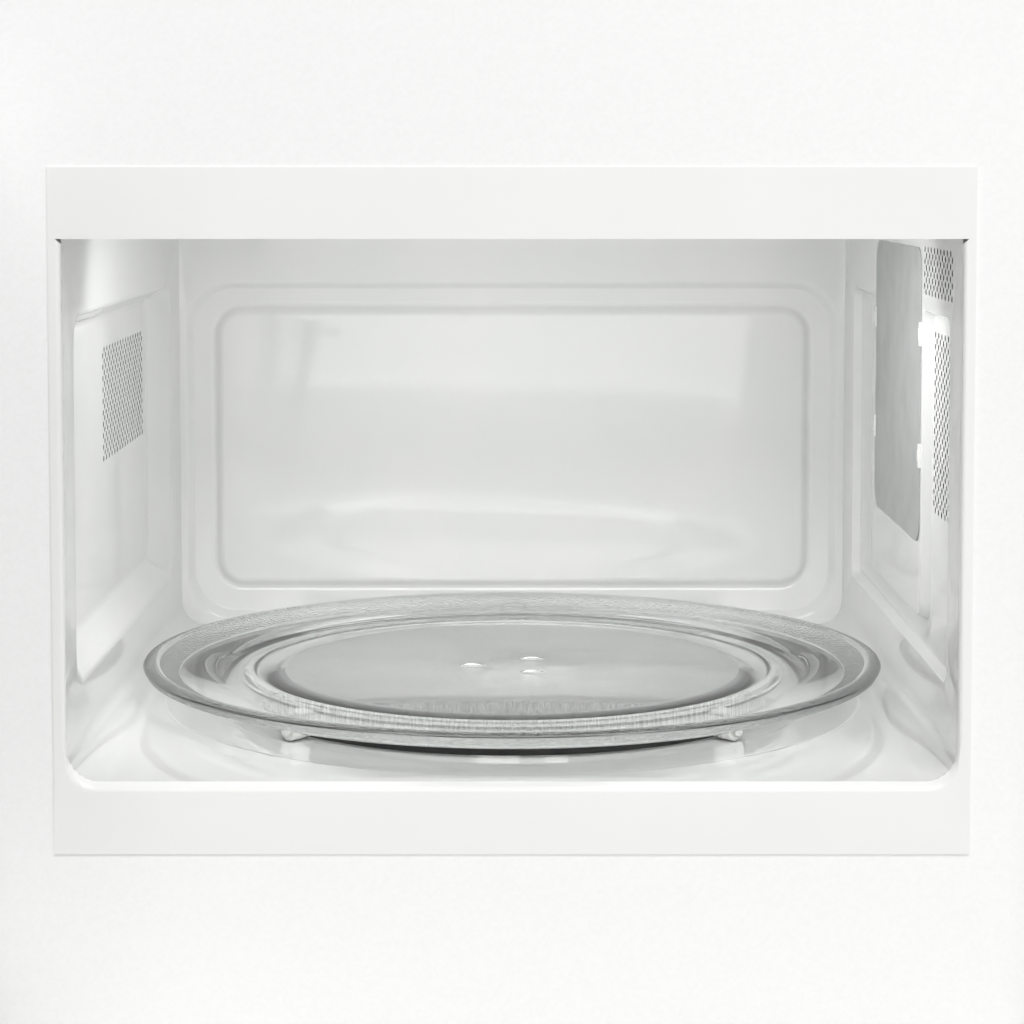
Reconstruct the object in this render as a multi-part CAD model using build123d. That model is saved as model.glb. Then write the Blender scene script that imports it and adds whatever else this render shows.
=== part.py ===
from build123d import *
from math import cos, radians, sin, sqrt
import os

os.makedirs("parts", exist_ok=True)

# Driving dimensions, in millimetres.
# x runs across the front with 0 at the middle of the oven opening, y runs back from the front plane
# of the oven's front plate, and z runs up from the surface that the feet stand on.

# Sheet thicknesses
cavity_sheet = 0.8
plate_sheet = 0.8
frame_sheet = 1.2
case_sheet = 0.8
base_sheet = 1.2

# Oven cavity
cavity_width = 328.0
cavity_depth = 321.0
opening_bottom = 92.0
opening_height = 202.0
floor_lip = 2.0
ceiling_rise = 4.0
floor_corner_radius = 12.0
shaft_hole_radius = 6.0

# Front plate round the opening
plate_side = 4.5
plate_above = 26.0
plate_below = 24.5
corner_notch = 1.8

# Whole front and case
front_width = 594.0
front_height = 384.0
front_left = -213.0
front_bottom = 2.0
case_left_inset = 22.0
case_right_inset = 22.0
case_top_inset = 14.0
case_depth = 362.0
foot_height = 10.0
foot_radius = 12.0
foot_inset = 34.0
frame_rim = 6.0
base_flange = 14.0
air_slot_width = 4.0
air_slot_height = 45.0
air_slot_count = 7
side_slot_pitch = 12.0
side_slot_rear = 56.0
side_slot_top = 27.0
base_slot_width = 3.0
base_slot_pitch = 7.0
base_slot_count = 6
base_slot_length = 50.0
base_slot_side = 8.0
base_slot_rear = 62.0

# Round pressings in the oven floor
floor_press_radius = 149.0
floor_press_depth = 1.2
floor_press_slope = 2.0

# Side wall pressings: a deep one on the left, and one on the right that leaves a pad for the mica
press_front = 27.0
press_rear = 289.0
press_floor_rear = 255.0
press_bottom = 32.0
press_slope_height = 15.0
press_top = 172.0
press_top_slope = 5.0
press_front_slope = 4.0
press_corner = 14.0
left_press_depth = 7.0
right_press_depth = 4.0
right_press_slope = 3.0
pad_front = 88.5
pad_rear = 225.0
pad_bottom = 140.0

# Ceiling pressing
ceiling_press_inset = 40.0
ceiling_press_height = 3.0

# Back wall pressings
back_press_side = 3.5
back_press_top = 172.0
back_press_bottom = 5.5
back_press_corner = 21.0
back_press_depth = 3.5
back_pad_side = 20.5
back_pad_top = 157.0
back_pad_bottom = 24.0
back_pad_corner = 10.0
back_pad_height = 2.5
back_press_slope = 3.0

# Vent holes, in rows staggered by half a pitch
vent_pitch = 16.5
vent_hole_radius = 4.2
left_vent_y = (130.2, 245.3)
left_vent_z = (196.6, 248.0)
upper_vent_y = (20.7, 89.0)
upper_vent_z = (269.0, 289.0)
lower_vent_y = (40.5, 83.0)
lower_vent_z = (182.4, 256.0)

# Waveguide and its mica cover
mica_depth = 121.0
mica_y = 151.5
mica_height = 118.0
mica_sheet = 0.5
mica_centre_z = 228.0
mica_corner = 6.0
clip_height = 10.5
clip_width = 5.0
clip_sheet = 1.0
clip_rise = 0.9
port_depth = 80.0
port_height = 40.0
port_rise = 18.0
waveguide_depth = 90.0
waveguide_width = 24.0
waveguide_bottom = 186.0
waveguide_top = 290.0
waveguide_sheet = 1.2

# Magnetron
magnetron_width = 70.0
magnetron_depth = 92.0
magnetron_height = 62.0
magnetron_z = 205.0
magnetron_yoke = 3.0
fin_count = 5
fin_sheet = 1.6
antenna_radius = 7.0
antenna_reach = 18.0
anode_radius = 19.0

# Turntable
turntable_depth = 160.5
tray_radius = 157.7
tray_rim_top = 111.4
tray_rim_width = 6.0
tray_rim_side = 4.2
tray_slope_run = 10.7
tray_glass = 4.0
tray_foot_radius = 146.0
lug_count = 3
lug_circle = 17.0
lug_radius = 5.5
lug_height = 5.0

# Roller ring: four rollers, of which the front two show under the tray
roller_count = 4
roller_first_angle = 45.0
roller_radius = 4.5
roller_width = 8.0
roller_track_radius = 122.0
roller_running_gap = 0.3
axle_radius = 1.5
axle_clearance = 0.06
axle_head_radius = 2.4
axle_head_width = 1.0
ring_outer_radius = 117.0
ring_width = 8.5
ring_floor_gap = 1.0
ring_tray_gap = 1.6
boss_width = 7.0

# Turntable drive
coupler_arm_radius = 24.0
coupler_arm_width = 7.0
coupler_hub_radius = 9.0
coupler_floor_gap = 1.6
coupler_tray_gap = 0.2
shaft_cover = 1.8
drive_shaft_radius = 3.5
drive_motor_radius = 24.5
drive_motor_height = 17.0
drive_motor_bore_clearance = 0.06

# Door, drawn closed and then swung open
door_thickness = 35.0
door_back_gap = 2.5
door_side_gap = 2.0
door_panel_width = 420.0
door_skin_depth = 8.0
door_window_width = 300.0
door_window_height = 186.0
door_window_bottom = 100.0
door_inner_window_width = 284.0
door_inner_window_height = 168.0
door_inner_window_bottom = 109.0
door_frame_inset = 10.0
door_frame_sheet = 1.2
choke_side = 20.0
choke_depth = 5.5
outer_glass = 3.2
inner_glass = 1.2
screen_sheet = 0.6
screen_hole_radius = 9.0
screen_pitch = 38.0
hinge_inset = 8.0
hinge_setback = 14.0
hinge_pin_radius = 3.0
hinge_pin_clearance = 0.06
hinge_pin_length = 9.0
hinge_leaf = 2.5
hinge_gap = 0.4
door_open_angle = 90.0

# Latch in the door, and its catch and switches behind the front frame
hook_x = 196.0
hook_width = 8.0
hook_spacing = 90.0
hook_low = 155.0
hook_body = 8.0
hook_nose = 5.0
hook_nose_length = 6.0
hook_reach = 16.0
hook_travel = 5.4
hook_bar_depth = 12.0
slot_clearance = 4.0
catch_gap = 0.7
catch_width = 6.5
catch_drop = 0.6
finger_drop = 0.8
finger_height = 4.7
wedge_clearance = 0.4
bracket_sheet = 3.0
switch_width = 10.0
switch_depth = 16.0
switch_height = 28.0
switch_gap = 4.0
plunger_radius = 1.6
plunger_stroke = 1.5
plunger_clearance = 0.06
plunger_gap = 0.4
plunger_seat = 6.0

# Control panel
panel_thickness = 36.0
panel_wall = 2.5
edge_break = 1.2
display_width = 110.0
display_height = 42.0
display_z = 300.0
display_glass = 2.0
knob_radius = 24.0
knob_height = 17.0
knob_z = 205.0
knob_gap = 0.4
knob_spindle_radius = 3.0
key_width = 48.0
key_height = 14.0
key_z = 128.0
key_spacing = 58.0
key_stand = 2.2
key_travel = 1.5
key_gap = 0.4
key_flange = 1.6
button_width = 120.0
button_height = 34.0
button_z = 52.0
button_travel = 6.0
board_sheet = 1.6

# Electrical parts in the right-hand compartment
transformer_size = (88.0, 74.0, 78.0)
transformer_side = 57.0
transformer_y = 52.0
coil_overhang = 16.0
capacitor_height = 92.0
capacitor_width = 50.0
capacitor_thickness = 31.0
capacitor_side_gap = 6.0
fan_side = 91.0
fan_z = 205.0
fan_radius = 54.0
fan_gap = 2.5
fan_depth = 24.0
fan_hub_radius = 14.0
fan_blade_count = 5
fan_blade_sheet = 1.6
fan_blade_pitch = 34.0
fan_plate_sheet = 1.2
fan_shaft_radius = 2.5
fan_motor_size = (64.0, 30.0, 60.0)
lamp_radius = 11.0
filter_board_size = (2.0, 80.0, 56.0)
filter_board_front = 120.0
filter_board_drop = 72.0
board_stand = 4.0
grommet_radius = 11.0
grommet_bore = 4.5
screw_head_radius = 4.0
screw_head_height = 2.2

# Fixing holes in the base plate
fixing_hole_radius = 2.75
fixing_spacing_x = 440.0
fixing_spacing_y = 240.0

# Places worked out from the driving dimensions
half_width = cavity_width / 2
opening_top = opening_bottom + opening_height
floor_z = opening_bottom + floor_lip
ceiling_z = opening_top + ceiling_rise
wall_outer = half_width + cavity_sheet
front_right = front_left + front_width
front_top = front_bottom + front_height
frame_front = plate_sheet
frame_back = frame_front + frame_sheet
case_left = front_left + case_left_inset
case_right = front_right - case_right_inset
case_top = front_top - case_top_inset
case_back = case_depth
base_top = foot_height + base_sheet
fan_x = case_right - fan_side
transformer_x = case_right - transformer_side - transformer_size[0]
track_floor = floor_z - floor_press_depth
axle_z = track_floor + roller_running_gap + roller_radius
tray_under = axle_z + roller_radius + roller_running_gap
tray_top = tray_under + tray_glass
door_back = -door_back_gap
door_front = door_back - door_thickness
hinge_x = front_left + hinge_inset
hinge_y = -hinge_setback
door_right = front_left + door_panel_width
panel_left = door_right + door_side_gap
panel_front = door_front
panel_middle = (panel_left + front_right) / 2


def block(x0, x1, y0, y1, z0, z1):
    """A box between two corners."""
    middle = ((x0 + x1) / 2, (y0 + y1) / 2, (z0 + z1) / 2)
    return Pos(*middle) * Box(x1 - x0, y1 - y0, z1 - z0)


def post(x, y, z0, z1, radius):
    """An upright cylinder from z0 to z1."""
    return Pos(x, y, (z0 + z1) / 2) * Cylinder(radius, z1 - z0)


def rod_y(x, y0, y1, z, radius):
    """A cylinder along y."""
    return Pos(x, (y0 + y1) / 2, z) * Rot(90, 0, 0) * Cylinder(radius, y1 - y0)


def rod_x(x0, x1, y, z, radius):
    """A cylinder along x."""
    return Pos((x0 + x1) / 2, y, z) * Rot(0, 90, 0) * Cylinder(radius, x1 - x0)


def prism(plane, radius, sides, length):
    """A many-sided bar that stands on a plane, used for small round forms out of sight."""
    return extrude(plane * RegularPolygon(radius, sides), length)


def facing_rear(x, y, z):
    """A plane whose normal points to the rear."""
    return Plane((x, y, z), x_dir=(1, 0, 0), z_dir=(0, 1, 0))


def facing_right(x, y, z):
    """A plane whose normal points to the right."""
    return Plane((x, y, z), x_dir=(0, 1, 0), z_dir=(1, 0, 0))


def pressing(open_plane, floor_plane, open_size, floor_size, open_shift, floor_shift, radius):
    """The tapered, round-cornered form of a pressing, between its mouth and its floor."""
    mouth = open_plane * Pos(*open_shift) * RectangleRounded(*open_size, radius)
    floor = floor_plane * Pos(*floor_shift) * RectangleRounded(*floor_size, radius)
    return loft([mouth, floor])


def side_pressing(side, depth, mouth_y, mouth_z, floor_y, floor_z_range, grow):
    """A pressing in a side wall. Side is -1 for left and 1 for right."""
    mouth_plane = Plane((side * half_width, 0, 0), x_dir=(0, 1, 0), z_dir=(side, 0, 0))
    floor_plane = Plane((side * (half_width + depth + grow), 0, 0), x_dir=(0, 1, 0), z_dir=(side, 0, 0))
    mouth_size = (mouth_y[1] - mouth_y[0] + 2 * grow, mouth_z[1] - mouth_z[0] + 2 * grow)
    floor_size = (floor_y[1] - floor_y[0] + 2 * grow, floor_z_range[1] - floor_z_range[0] + 2 * grow)
    mouth_shift = (sum(mouth_y) / 2, side * sum(mouth_z) / 2)
    floor_shift = (sum(floor_y) / 2, side * sum(floor_z_range) / 2)
    return pressing(mouth_plane, floor_plane, mouth_size, floor_size, mouth_shift, floor_shift, press_corner)


def staggered(span_u, span_v, pitch):
    """Centres of a staggered hole pattern that fills a rectangle, as (u, v) pairs."""
    column_step = pitch * sqrt(3) / 2
    columns = int((span_u[1] - span_u[0]) / column_step) + 1
    rows = int((span_v[1] - span_v[0] - pitch / 2) / pitch) + 1
    u_start = (sum(span_u) - (columns - 1) * column_step) / 2
    v_start = (sum(span_v) - (rows - 1) * pitch - pitch / 2) / 2
    centres = []
    for column in range(columns):
        for row in range(rows):
            offset = pitch / 2 if column % 2 else 0.0
            centres.append((u_start + column * column_step, v_start + row * pitch + offset))
    return centres


def side_holes(x0, x1, span_y, span_z):
    """Six-sided punches through a side wall."""
    plane = Plane((x0, 0, 0), x_dir=(0, 1, 0), z_dir=(1, 0, 0))
    return [
        extrude(plane * Pos(y, z) * RegularPolygon(vent_hole_radius, 6), x1 - x0)
        for y, z in staggered(span_y, span_z, vent_pitch)
    ]


# Oven cavity

press_z = (floor_z + press_bottom - floor_lip, floor_z + press_top - floor_lip)
press_floor_z = (press_z[0] + press_slope_height, press_z[1] - press_top_slope)


def u_section(grow, top):
    """The outline of the floor and two side walls, seen from the front."""
    width = cavity_width + 2 * grow
    low = floor_z - grow
    outline = Pos(0, (low + top) / 2) * Rectangle(width, top - low)
    bottom = outline.vertices().group_by(Axis.Y)[0]
    return Plane.XZ * fillet(bottom, floor_corner_radius + grow)


def side_pressings(grow):
    """All pressings of the side walls, at their inner face or grown by the sheet."""
    mouth_y = (press_front, press_rear)
    floor_y = (press_front + press_front_slope, press_floor_rear)
    left = side_pressing(-1, left_press_depth, mouth_y, press_z, floor_y, press_floor_z, grow)
    slope = right_press_slope
    right_floor_y = (press_front + slope, press_rear - slope)
    right_floor_z = (press_z[0] + slope, press_z[1] - slope)
    right = side_pressing(1, right_press_depth, mouth_y, press_z, right_floor_y, right_floor_z, grow)
    reach = half_width + right_press_depth + 2 * cavity_sheet
    outline = Polyline((half_width, pad_front + grow), (half_width, pad_rear - grow),
                       (reach, pad_rear - slope - grow), (reach, pad_front + slope + grow), close=True)
    pad = Pos(0, 0, pad_bottom + grow) * extrude(make_face(outline), press_z[1])
    return [left, right - pad]


def floor_pressing(grow):
    """The shallow round pressing in the floor, where the rollers run."""
    drop = floor_press_depth + grow
    foot = floor_press_radius - floor_press_slope + grow
    return Pos(0, turntable_depth, floor_z - drop / 2) * Cone(foot, floor_press_radius + grow, drop)


def cavity_wrap():
    """Floor and side walls of the oven, pressed from one sheet."""
    length = cavity_depth - plate_sheet
    shell = Pos(0, plate_sheet, 0) * extrude(u_section(cavity_sheet, ceiling_z), -length)
    shell = shell + side_pressings(cavity_sheet) + floor_pressing(cavity_sheet)
    hollow = Pos(0, plate_sheet - 1, 0) * extrude(u_section(0.0, ceiling_z + 1), -(length + 2))
    shell = shell - hollow - side_pressings(0.0) - floor_pressing(0.0)
    punch = 2 * cavity_sheet + left_press_depth
    left_holes = side_holes(-half_width - punch, -half_width, left_vent_y, left_vent_z)
    right_punch = half_width + right_press_depth + 2 * cavity_sheet
    upper_holes = side_holes(half_width - 1, right_punch, upper_vent_y, upper_vent_z)
    lower_holes = side_holes(half_width - 1, right_punch, lower_vent_y, lower_vent_z)
    port_z = mica_centre_z + port_rise
    port = block(half_width - 1, wall_outer + 1, mica_y - port_depth / 2, mica_y + port_depth / 2,
                 port_z - port_height / 2, port_z + port_height / 2)
    shaft_hole = post(0, turntable_depth, track_floor - 3, floor_z + 1, shaft_hole_radius)
    return shell - left_holes - upper_holes - lower_holes - port - shaft_hole


def cavity_ceiling():
    """Top sheet of the oven, with one wide stiffening pressing."""
    sheet = block(-wall_outer, wall_outer, plate_sheet, cavity_depth, ceiling_z, ceiling_z + cavity_sheet)
    width = cavity_width - 2 * ceiling_press_inset
    depth = cavity_depth - 2 * ceiling_press_inset
    low = Plane((0, cavity_depth / 2, ceiling_z))
    inner = extrude(low * Rectangle(width, depth), ceiling_press_height, taper=45)
    wide = low * Rectangle(width + 2 * cavity_sheet, depth + 2 * cavity_sheet)
    outer = extrude(wide, ceiling_press_height + cavity_sheet, taper=45)
    return sheet + outer - inner


def back_form(side, low, top, depth, corner, slope, y, grow):
    """A pressing of the back wall, from the plane y towards the rear by depth."""
    width = cavity_width - 2 * side
    height = top - low
    centre = (low + top) / 2
    mouth_plane = Plane((0, y, centre), x_dir=(1, 0, 0), z_dir=(0, -1, 0))
    floor_plane = Plane((0, y + depth, centre), x_dir=(1, 0, 0), z_dir=(0, -1, 0))
    mouth_size = (width + 2 * grow, height + 2 * grow)
    floor_size = (width - 2 * slope + 2 * grow, height - 2 * slope + 2 * grow)
    return pressing(mouth_plane, floor_plane, mouth_size, floor_size, (0, 0), (0, 0), corner)


def cavity_back():
    """Back wall of the oven: a wide pressing with a raised pad inside it."""
    y = cavity_depth
    sheet = block(-wall_outer, wall_outer, y, y + cavity_sheet, floor_z - cavity_sheet, ceiling_z + cavity_sheet)
    press_low = opening_bottom + back_press_bottom
    press_high = opening_bottom + back_press_top
    pad_low = opening_bottom + back_pad_bottom
    pad_high = opening_bottom + back_pad_top
    dish_depth = back_press_depth + cavity_sheet
    outer = back_form(back_press_side, press_low, press_high, dish_depth,
                      back_press_corner, back_press_slope, y, cavity_sheet)
    inner = back_form(back_press_side, press_low, press_high, back_press_depth,
                      back_press_corner, back_press_slope, y, 0.0)
    foot = y + back_press_depth
    slope = back_press_slope
    pad = back_form(back_pad_side - slope, pad_low - slope, pad_high + slope, -back_pad_height,
                    back_pad_corner, slope, foot, 0.0)
    hollow = back_form(back_pad_side - slope, pad_low - slope, pad_high + slope, -back_pad_height,
                       back_pad_corner, slope, foot + cavity_sheet, -cavity_sheet)
    return sheet + outer - inner + pad - hollow


def cavity_front_plate():
    """Flat plate round the opening, with square top corners and a small relief notch at each."""
    low = opening_bottom - plate_below
    high = opening_top + plate_above
    plate = block(-half_width - plate_side, half_width + plate_side, 0, plate_sheet, low, high)
    hole = Pos(0, (opening_bottom + opening_top) / 2) * Rectangle(cavity_width, opening_height)
    hole = fillet(hole.vertices().group_by(Axis.Y)[0], floor_corner_radius)
    plate = plate - Pos(0, -1, 0) * extrude(Plane.XZ * hole, -(plate_sheet + 2))
    for side in (-1, 1):
        edge = side * half_width
        notch = Polyline((edge, opening_top), (edge + side * corner_notch, opening_top),
                         (edge, opening_top - corner_notch), close=True)
        plate = plate - Pos(0, -1, 0) * extrude(Plane.XZ * make_face(notch), -(plate_sheet + 2))
    return plate


def waveguide_cover():
    """Mica sheet that covers the waveguide's port."""
    plane = Plane((half_width, mica_y, mica_centre_z), x_dir=(0, 1, 0), z_dir=(-1, 0, 0))
    return extrude(plane * RectangleRounded(mica_depth, mica_height, mica_corner), mica_sheet)


clip_spots = ((mica_y - mica_depth / 2, 253.5), (mica_y - mica_depth / 2, 204.5),
              (mica_y + mica_depth / 2, 229.0))


def mica_clips():
    """Small folded tabs that hold the mica sheet by its edges."""
    clips = []
    for y, z in clip_spots:
        outward = -1 if y < mica_y else 1
        foot = y + outward * clip_sheet
        y0 = min(foot, y - outward * clip_width)
        y1 = max(foot, y - outward * clip_width)
        low = z - clip_height / 2
        high = z + clip_height / 2
        inner = half_width - mica_sheet
        tab = block(inner - clip_rise, inner, y0, y1, low, high)
        web = block(inner, half_width, min(foot, y), max(foot, y), low, high)
        clips.append(tab + web)
    return clips


# Front frame, case and base

slot_z = [hook_low + index * hook_spacing for index in range(2)]


def front_frame():
    """Steel front that carries the oven, the case, the hinges and the control panel.

    Its rim is folded back and rests on the front edges of the niche.
    """
    frame = block(front_left, front_right, frame_front, frame_back + frame_rim, front_bottom, front_top)
    frame = frame - block(front_left + frame_sheet, front_right - frame_sheet, frame_back,
                          frame_back + frame_rim + 1, front_bottom + frame_sheet, front_top - frame_sheet)
    margin = 1.2
    window = Pos(0, (floor_z + ceiling_z) / 2) * Rectangle(
        cavity_width + 2 * (cavity_sheet + margin), ceiling_z - floor_z + 2 * (cavity_sheet + margin)
    )
    window = fillet(window.vertices().group_by(Axis.Y)[0], floor_corner_radius)
    frame = frame - extrude(Plane.XZ * window, -(frame_back + 1))
    for low in slot_z:
        frame = frame - block(hook_x - hook_width / 2 - slot_clearance, hook_x + hook_width / 2 + slot_clearance,
                              0, frame_back + 1, low - hook_nose - slot_clearance,
                              low + hook_body + hook_travel + slot_clearance)
    frame = frame - block(stem_x - stem_width / 2 - 1.5, stem_x + stem_width / 2 + 1.5, 0, frame_back + 1,
                          button_z - stem_height / 2 - 1.5, button_z + stem_height / 2 + 1.5)
    return frame


def base_plate():
    """Floor of the case, with a flange turned up all round."""
    low = foot_height
    x0 = case_left + case_sheet
    x1 = case_right - case_sheet
    tray = block(x0, x1, frame_back, case_back, low, base_top + base_flange)
    tray = tray - block(x0 + base_sheet, x1 - base_sheet, frame_back + base_sheet, case_back - base_sheet,
                        base_top, base_top + base_flange + 1)
    middle_x = (case_left + case_right) / 2
    middle_y = (frame_back + case_back) / 2
    for dx in (-1, 1):
        for dy in (-1, 1):
            tray = tray - post(middle_x + dx * fixing_spacing_x / 2, middle_y + dy * fixing_spacing_y / 2,
                               low - 1, base_top + 1, fixing_hole_radius)
    slot_y = case_back - base_slot_rear
    for index in range(base_slot_count):
        x = x1 - base_sheet - base_slot_side - index * base_slot_pitch
        tray = tray - block(x - base_slot_width, x, slot_y - base_slot_length, slot_y, low - 1, base_top + 1)
    return tray


def base_feet():
    """Four rubber feet."""
    feet = []
    for x in (case_left + foot_inset, case_right - foot_inset):
        for y in (frame_back + foot_inset, case_back - foot_inset):
            feet.append(prism(Plane((x, y, 0)), foot_radius, 16, foot_height))
    return feet


def outer_case():
    """Top and both sides of the case, folded from one sheet."""
    outside = block(case_left, case_right, frame_back, case_back, foot_height, case_top)
    inside = block(case_left + case_sheet, case_right - case_sheet, frame_back - 1, case_back + 1,
                   foot_height - 1, case_top - case_sheet)
    case = outside - inside
    slot_top = case_top - side_slot_top
    for index in range(air_slot_count):
        y = case_back - side_slot_rear - index * side_slot_pitch
        case = case - block(case_right - case_sheet - 1, case_right + 1, y - air_slot_width, y,
                            slot_top - air_slot_height, slot_top)
        case = case - block(case_left - 1, case_left + case_sheet + 1, y - air_slot_width, y,
                            slot_top - air_slot_height, slot_top)
    return case


def rear_panel():
    """Back sheet of the case, with the fan's air slots and the hole for the cable inlet."""
    panel = block(case_left, case_right, case_back, case_back + case_sheet, foot_height, case_top)
    pitch = 2 * fan_radius / (air_slot_count + 1)
    for index in range(air_slot_count):
        rise = (index - (air_slot_count - 1) / 2) * pitch
        reach = sqrt(fan_radius ** 2 - rise ** 2) - air_slot_width
        z = fan_z + rise
        panel = panel - block(fan_x - reach, fan_x + reach, case_back - 1, case_back + case_sheet + 1,
                              z - air_slot_width / 2, z + air_slot_width / 2)
    return panel - rod_y(grommet_x, case_back - 1, case_back + case_sheet + 1, grommet_z, grommet_radius - 2)


grommet_x = case_right - 40.0
grommet_z = 60.0


def cable_inlet():
    """Bush in the rear panel where a supply cable would enter."""
    lip = 2.5
    length = 2 * lip + case_sheet
    body = prism(facing_rear(grommet_x, case_back - lip, grommet_z), grommet_radius - 2.5, 12, length)
    flange = prism(facing_rear(grommet_x, case_back + case_sheet, grommet_z), grommet_radius, 12, lip)
    bore = rod_y(grommet_x, case_back - lip - 1, case_back + case_sheet + lip + 1, grommet_z, grommet_bore)
    return body + flange - bore


def case_screws():
    """Hexagon-headed screws that hold the rear panel to the case."""
    screws = []
    for x in (case_left + 12, (case_left + case_right) / 2, case_right - 12):
        for z in (foot_height + 9, case_top - 9):
            seat = facing_rear(x, case_back + case_sheet, z)
            screws.append(prism(seat, screw_head_radius, 6, screw_head_height))
    return screws


# Turntable, roller ring and drive


def glass_tray():
    """Round glass tray with a raised rim, and three drive lugs underneath."""
    rim_inner = tray_radius - tray_rim_width
    rim_side_low = tray_rim_top - tray_rim_side
    points = [
        (0, tray_under),
        (tray_foot_radius, tray_under),
        (tray_radius, rim_side_low),
        (tray_radius, tray_rim_top),
        (rim_inner, tray_rim_top),
        (rim_inner - tray_slope_run, tray_top),
        (0, tray_top),
    ]
    section = Plane.XZ * make_face(Polyline(*points, close=True))
    tray = Pos(0, turntable_depth, 0) * revolve(section, Axis.Z)
    for index in range(lug_count):
        angle = radians(180 + index * 360 / lug_count)
        x = lug_circle * cos(angle)
        y = turntable_depth + lug_circle * sin(angle)
        tray = tray + prism(Plane((x, y, tray_under - lug_height)), lug_radius, 8, lug_height)
    return tray


def turntable_coupler():
    """Moulded three-armed coupler whose arms lie between the tray's lugs."""
    low = track_floor + coupler_floor_gap
    high = tray_under - coupler_tray_gap
    middle = (low + high) / 2
    height = high - low
    coupler = prism(Plane((0, 0, low)), coupler_hub_radius, 12, height)
    for index in range(lug_count):
        arm = Pos(coupler_arm_radius / 2, 0, middle) * Box(coupler_arm_radius, coupler_arm_width, height)
        coupler = coupler + Rot(0, 0, index * 360 / lug_count) * arm
    coupler = Pos(0, turntable_depth, 0) * coupler
    return coupler - post(0, turntable_depth, low - 1, high - shaft_cover, drive_shaft_radius)


def drive_shaft():
    """Steel shaft of the turntable motor."""
    shaft_top = tray_under - coupler_tray_gap - shaft_cover
    return post(0, turntable_depth, motor_top - drive_motor_height / 2, shaft_top, drive_shaft_radius)


motor_top = track_floor - cavity_sheet


def turntable_motor():
    """Flat synchronous motor under the oven floor, with two fixing ears."""
    low = motor_top - drive_motor_height
    can = prism(Plane((0, turntable_depth, low)), drive_motor_radius, 16, drive_motor_height)
    ear_length = 2 * drive_motor_radius + 18
    ears = block(-ear_length / 2, ear_length / 2, turntable_depth - 6, turntable_depth + 6, motor_top - 1, motor_top)
    terminals = block(-9, 9, turntable_depth + drive_motor_radius - 4, turntable_depth + drive_motor_radius + 9,
                      low + 3, low + 9)
    bore = post(0, turntable_depth, motor_top - drive_motor_height / 2, motor_top + 1,
                drive_shaft_radius + drive_motor_bore_clearance)
    return can + ears + terminals - bore


def roller_angles():
    """Directions of the rollers, seen from above."""
    return [roller_first_angle + index * 360 / roller_count for index in range(roller_count)]


def roller_ring():
    """Moulded ring that carries the rollers on short radial axles."""
    low = track_floor + ring_floor_gap
    high = tray_under - ring_tray_gap
    height = high - low
    middle = (low + high) / 2
    ring = Pos(0, 0, middle) * (
        Cylinder(ring_outer_radius, height) - Cylinder(ring_outer_radius - ring_width, height + 2)
    )
    inner_end = roller_track_radius - roller_width / 2 - roller_running_gap
    outer_end = roller_track_radius + roller_width / 2 + roller_running_gap
    for angle in roller_angles():
        boss = block(ring_outer_radius - ring_width, inner_end, -boss_width / 2, boss_width / 2, low, high)
        axle = rod_x(ring_outer_radius - ring_width / 2, outer_end, 0, axle_z, axle_radius)
        head = prism(facing_right(outer_end, 0, axle_z), axle_head_radius, 6, axle_head_width)
        ring = ring + Rot(0, 0, angle) * (boss + axle + head)
    return Pos(0, turntable_depth, 0) * ring


def roller(angle):
    """One roller with a plain bore."""
    inner_end = roller_track_radius - roller_width / 2
    outer_end = roller_track_radius + roller_width / 2
    wheel = rod_x(inner_end, outer_end, 0, axle_z, roller_radius)
    wheel = wheel - rod_x(inner_end - 1, outer_end + 1, 0, axle_z, axle_radius + axle_clearance)
    return Pos(0, turntable_depth, 0) * Rot(0, 0, angle) * wheel


# Microwave generator and cooling

waveguide_x = wall_outer + waveguide_width


def waveguide():
    """Folded steel duct between the magnetron and the oven's port."""
    y0 = mica_y - waveguide_depth / 2
    y1 = mica_y + waveguide_depth / 2
    duct = block(wall_outer, waveguide_x, y0, y1, waveguide_bottom, waveguide_top)
    hollow = block(wall_outer - 1, waveguide_x - waveguide_sheet, y0 + waveguide_sheet, y1 - waveguide_sheet,
                   waveguide_bottom + waveguide_sheet, waveguide_top - waveguide_sheet)
    return duct - hollow - prism(facing_right(waveguide_x - 4, mica_y, magnetron_z), antenna_radius + 2, 12, 5)


def magnetron():
    """Magnetron: a yoke round the anode, cooling fins and the antenna."""
    x0 = waveguide_x
    x1 = x0 + magnetron_width
    y0 = mica_y - magnetron_depth / 2
    y1 = mica_y + magnetron_depth / 2
    z0 = magnetron_z - magnetron_height / 2
    z1 = magnetron_z + magnetron_height / 2
    yoke = block(x0, x1, y0, y1, z0, z1)
    yoke = yoke - block(x0 + magnetron_yoke, x1 - magnetron_yoke, y0 - 1, y1 + 1,
                        z0 + magnetron_yoke, z1 - magnetron_yoke)
    anode_length = magnetron_width - 2 * magnetron_yoke
    anode = prism(facing_right(x0 + magnetron_yoke, mica_y, magnetron_z), anode_radius, 12, anode_length)
    result = yoke + anode
    step = (magnetron_width - 2 * magnetron_yoke) / (fin_count + 1)
    for index in range(fin_count):
        x = x0 + magnetron_yoke + step * (index + 1)
        result = result + block(x - fin_sheet / 2, x + fin_sheet / 2, y0 + 4, y1 - 4,
                                z0 + magnetron_yoke, z1 - magnetron_yoke)
    antenna = prism(facing_right(x0 - antenna_reach, mica_y, magnetron_z), antenna_radius, 12, antenna_reach)
    filter_box = block(x1, x1 + 22, mica_y - 24, mica_y + 24, z0 + 8, z1 - 8)
    return result + antenna + filter_box


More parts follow.
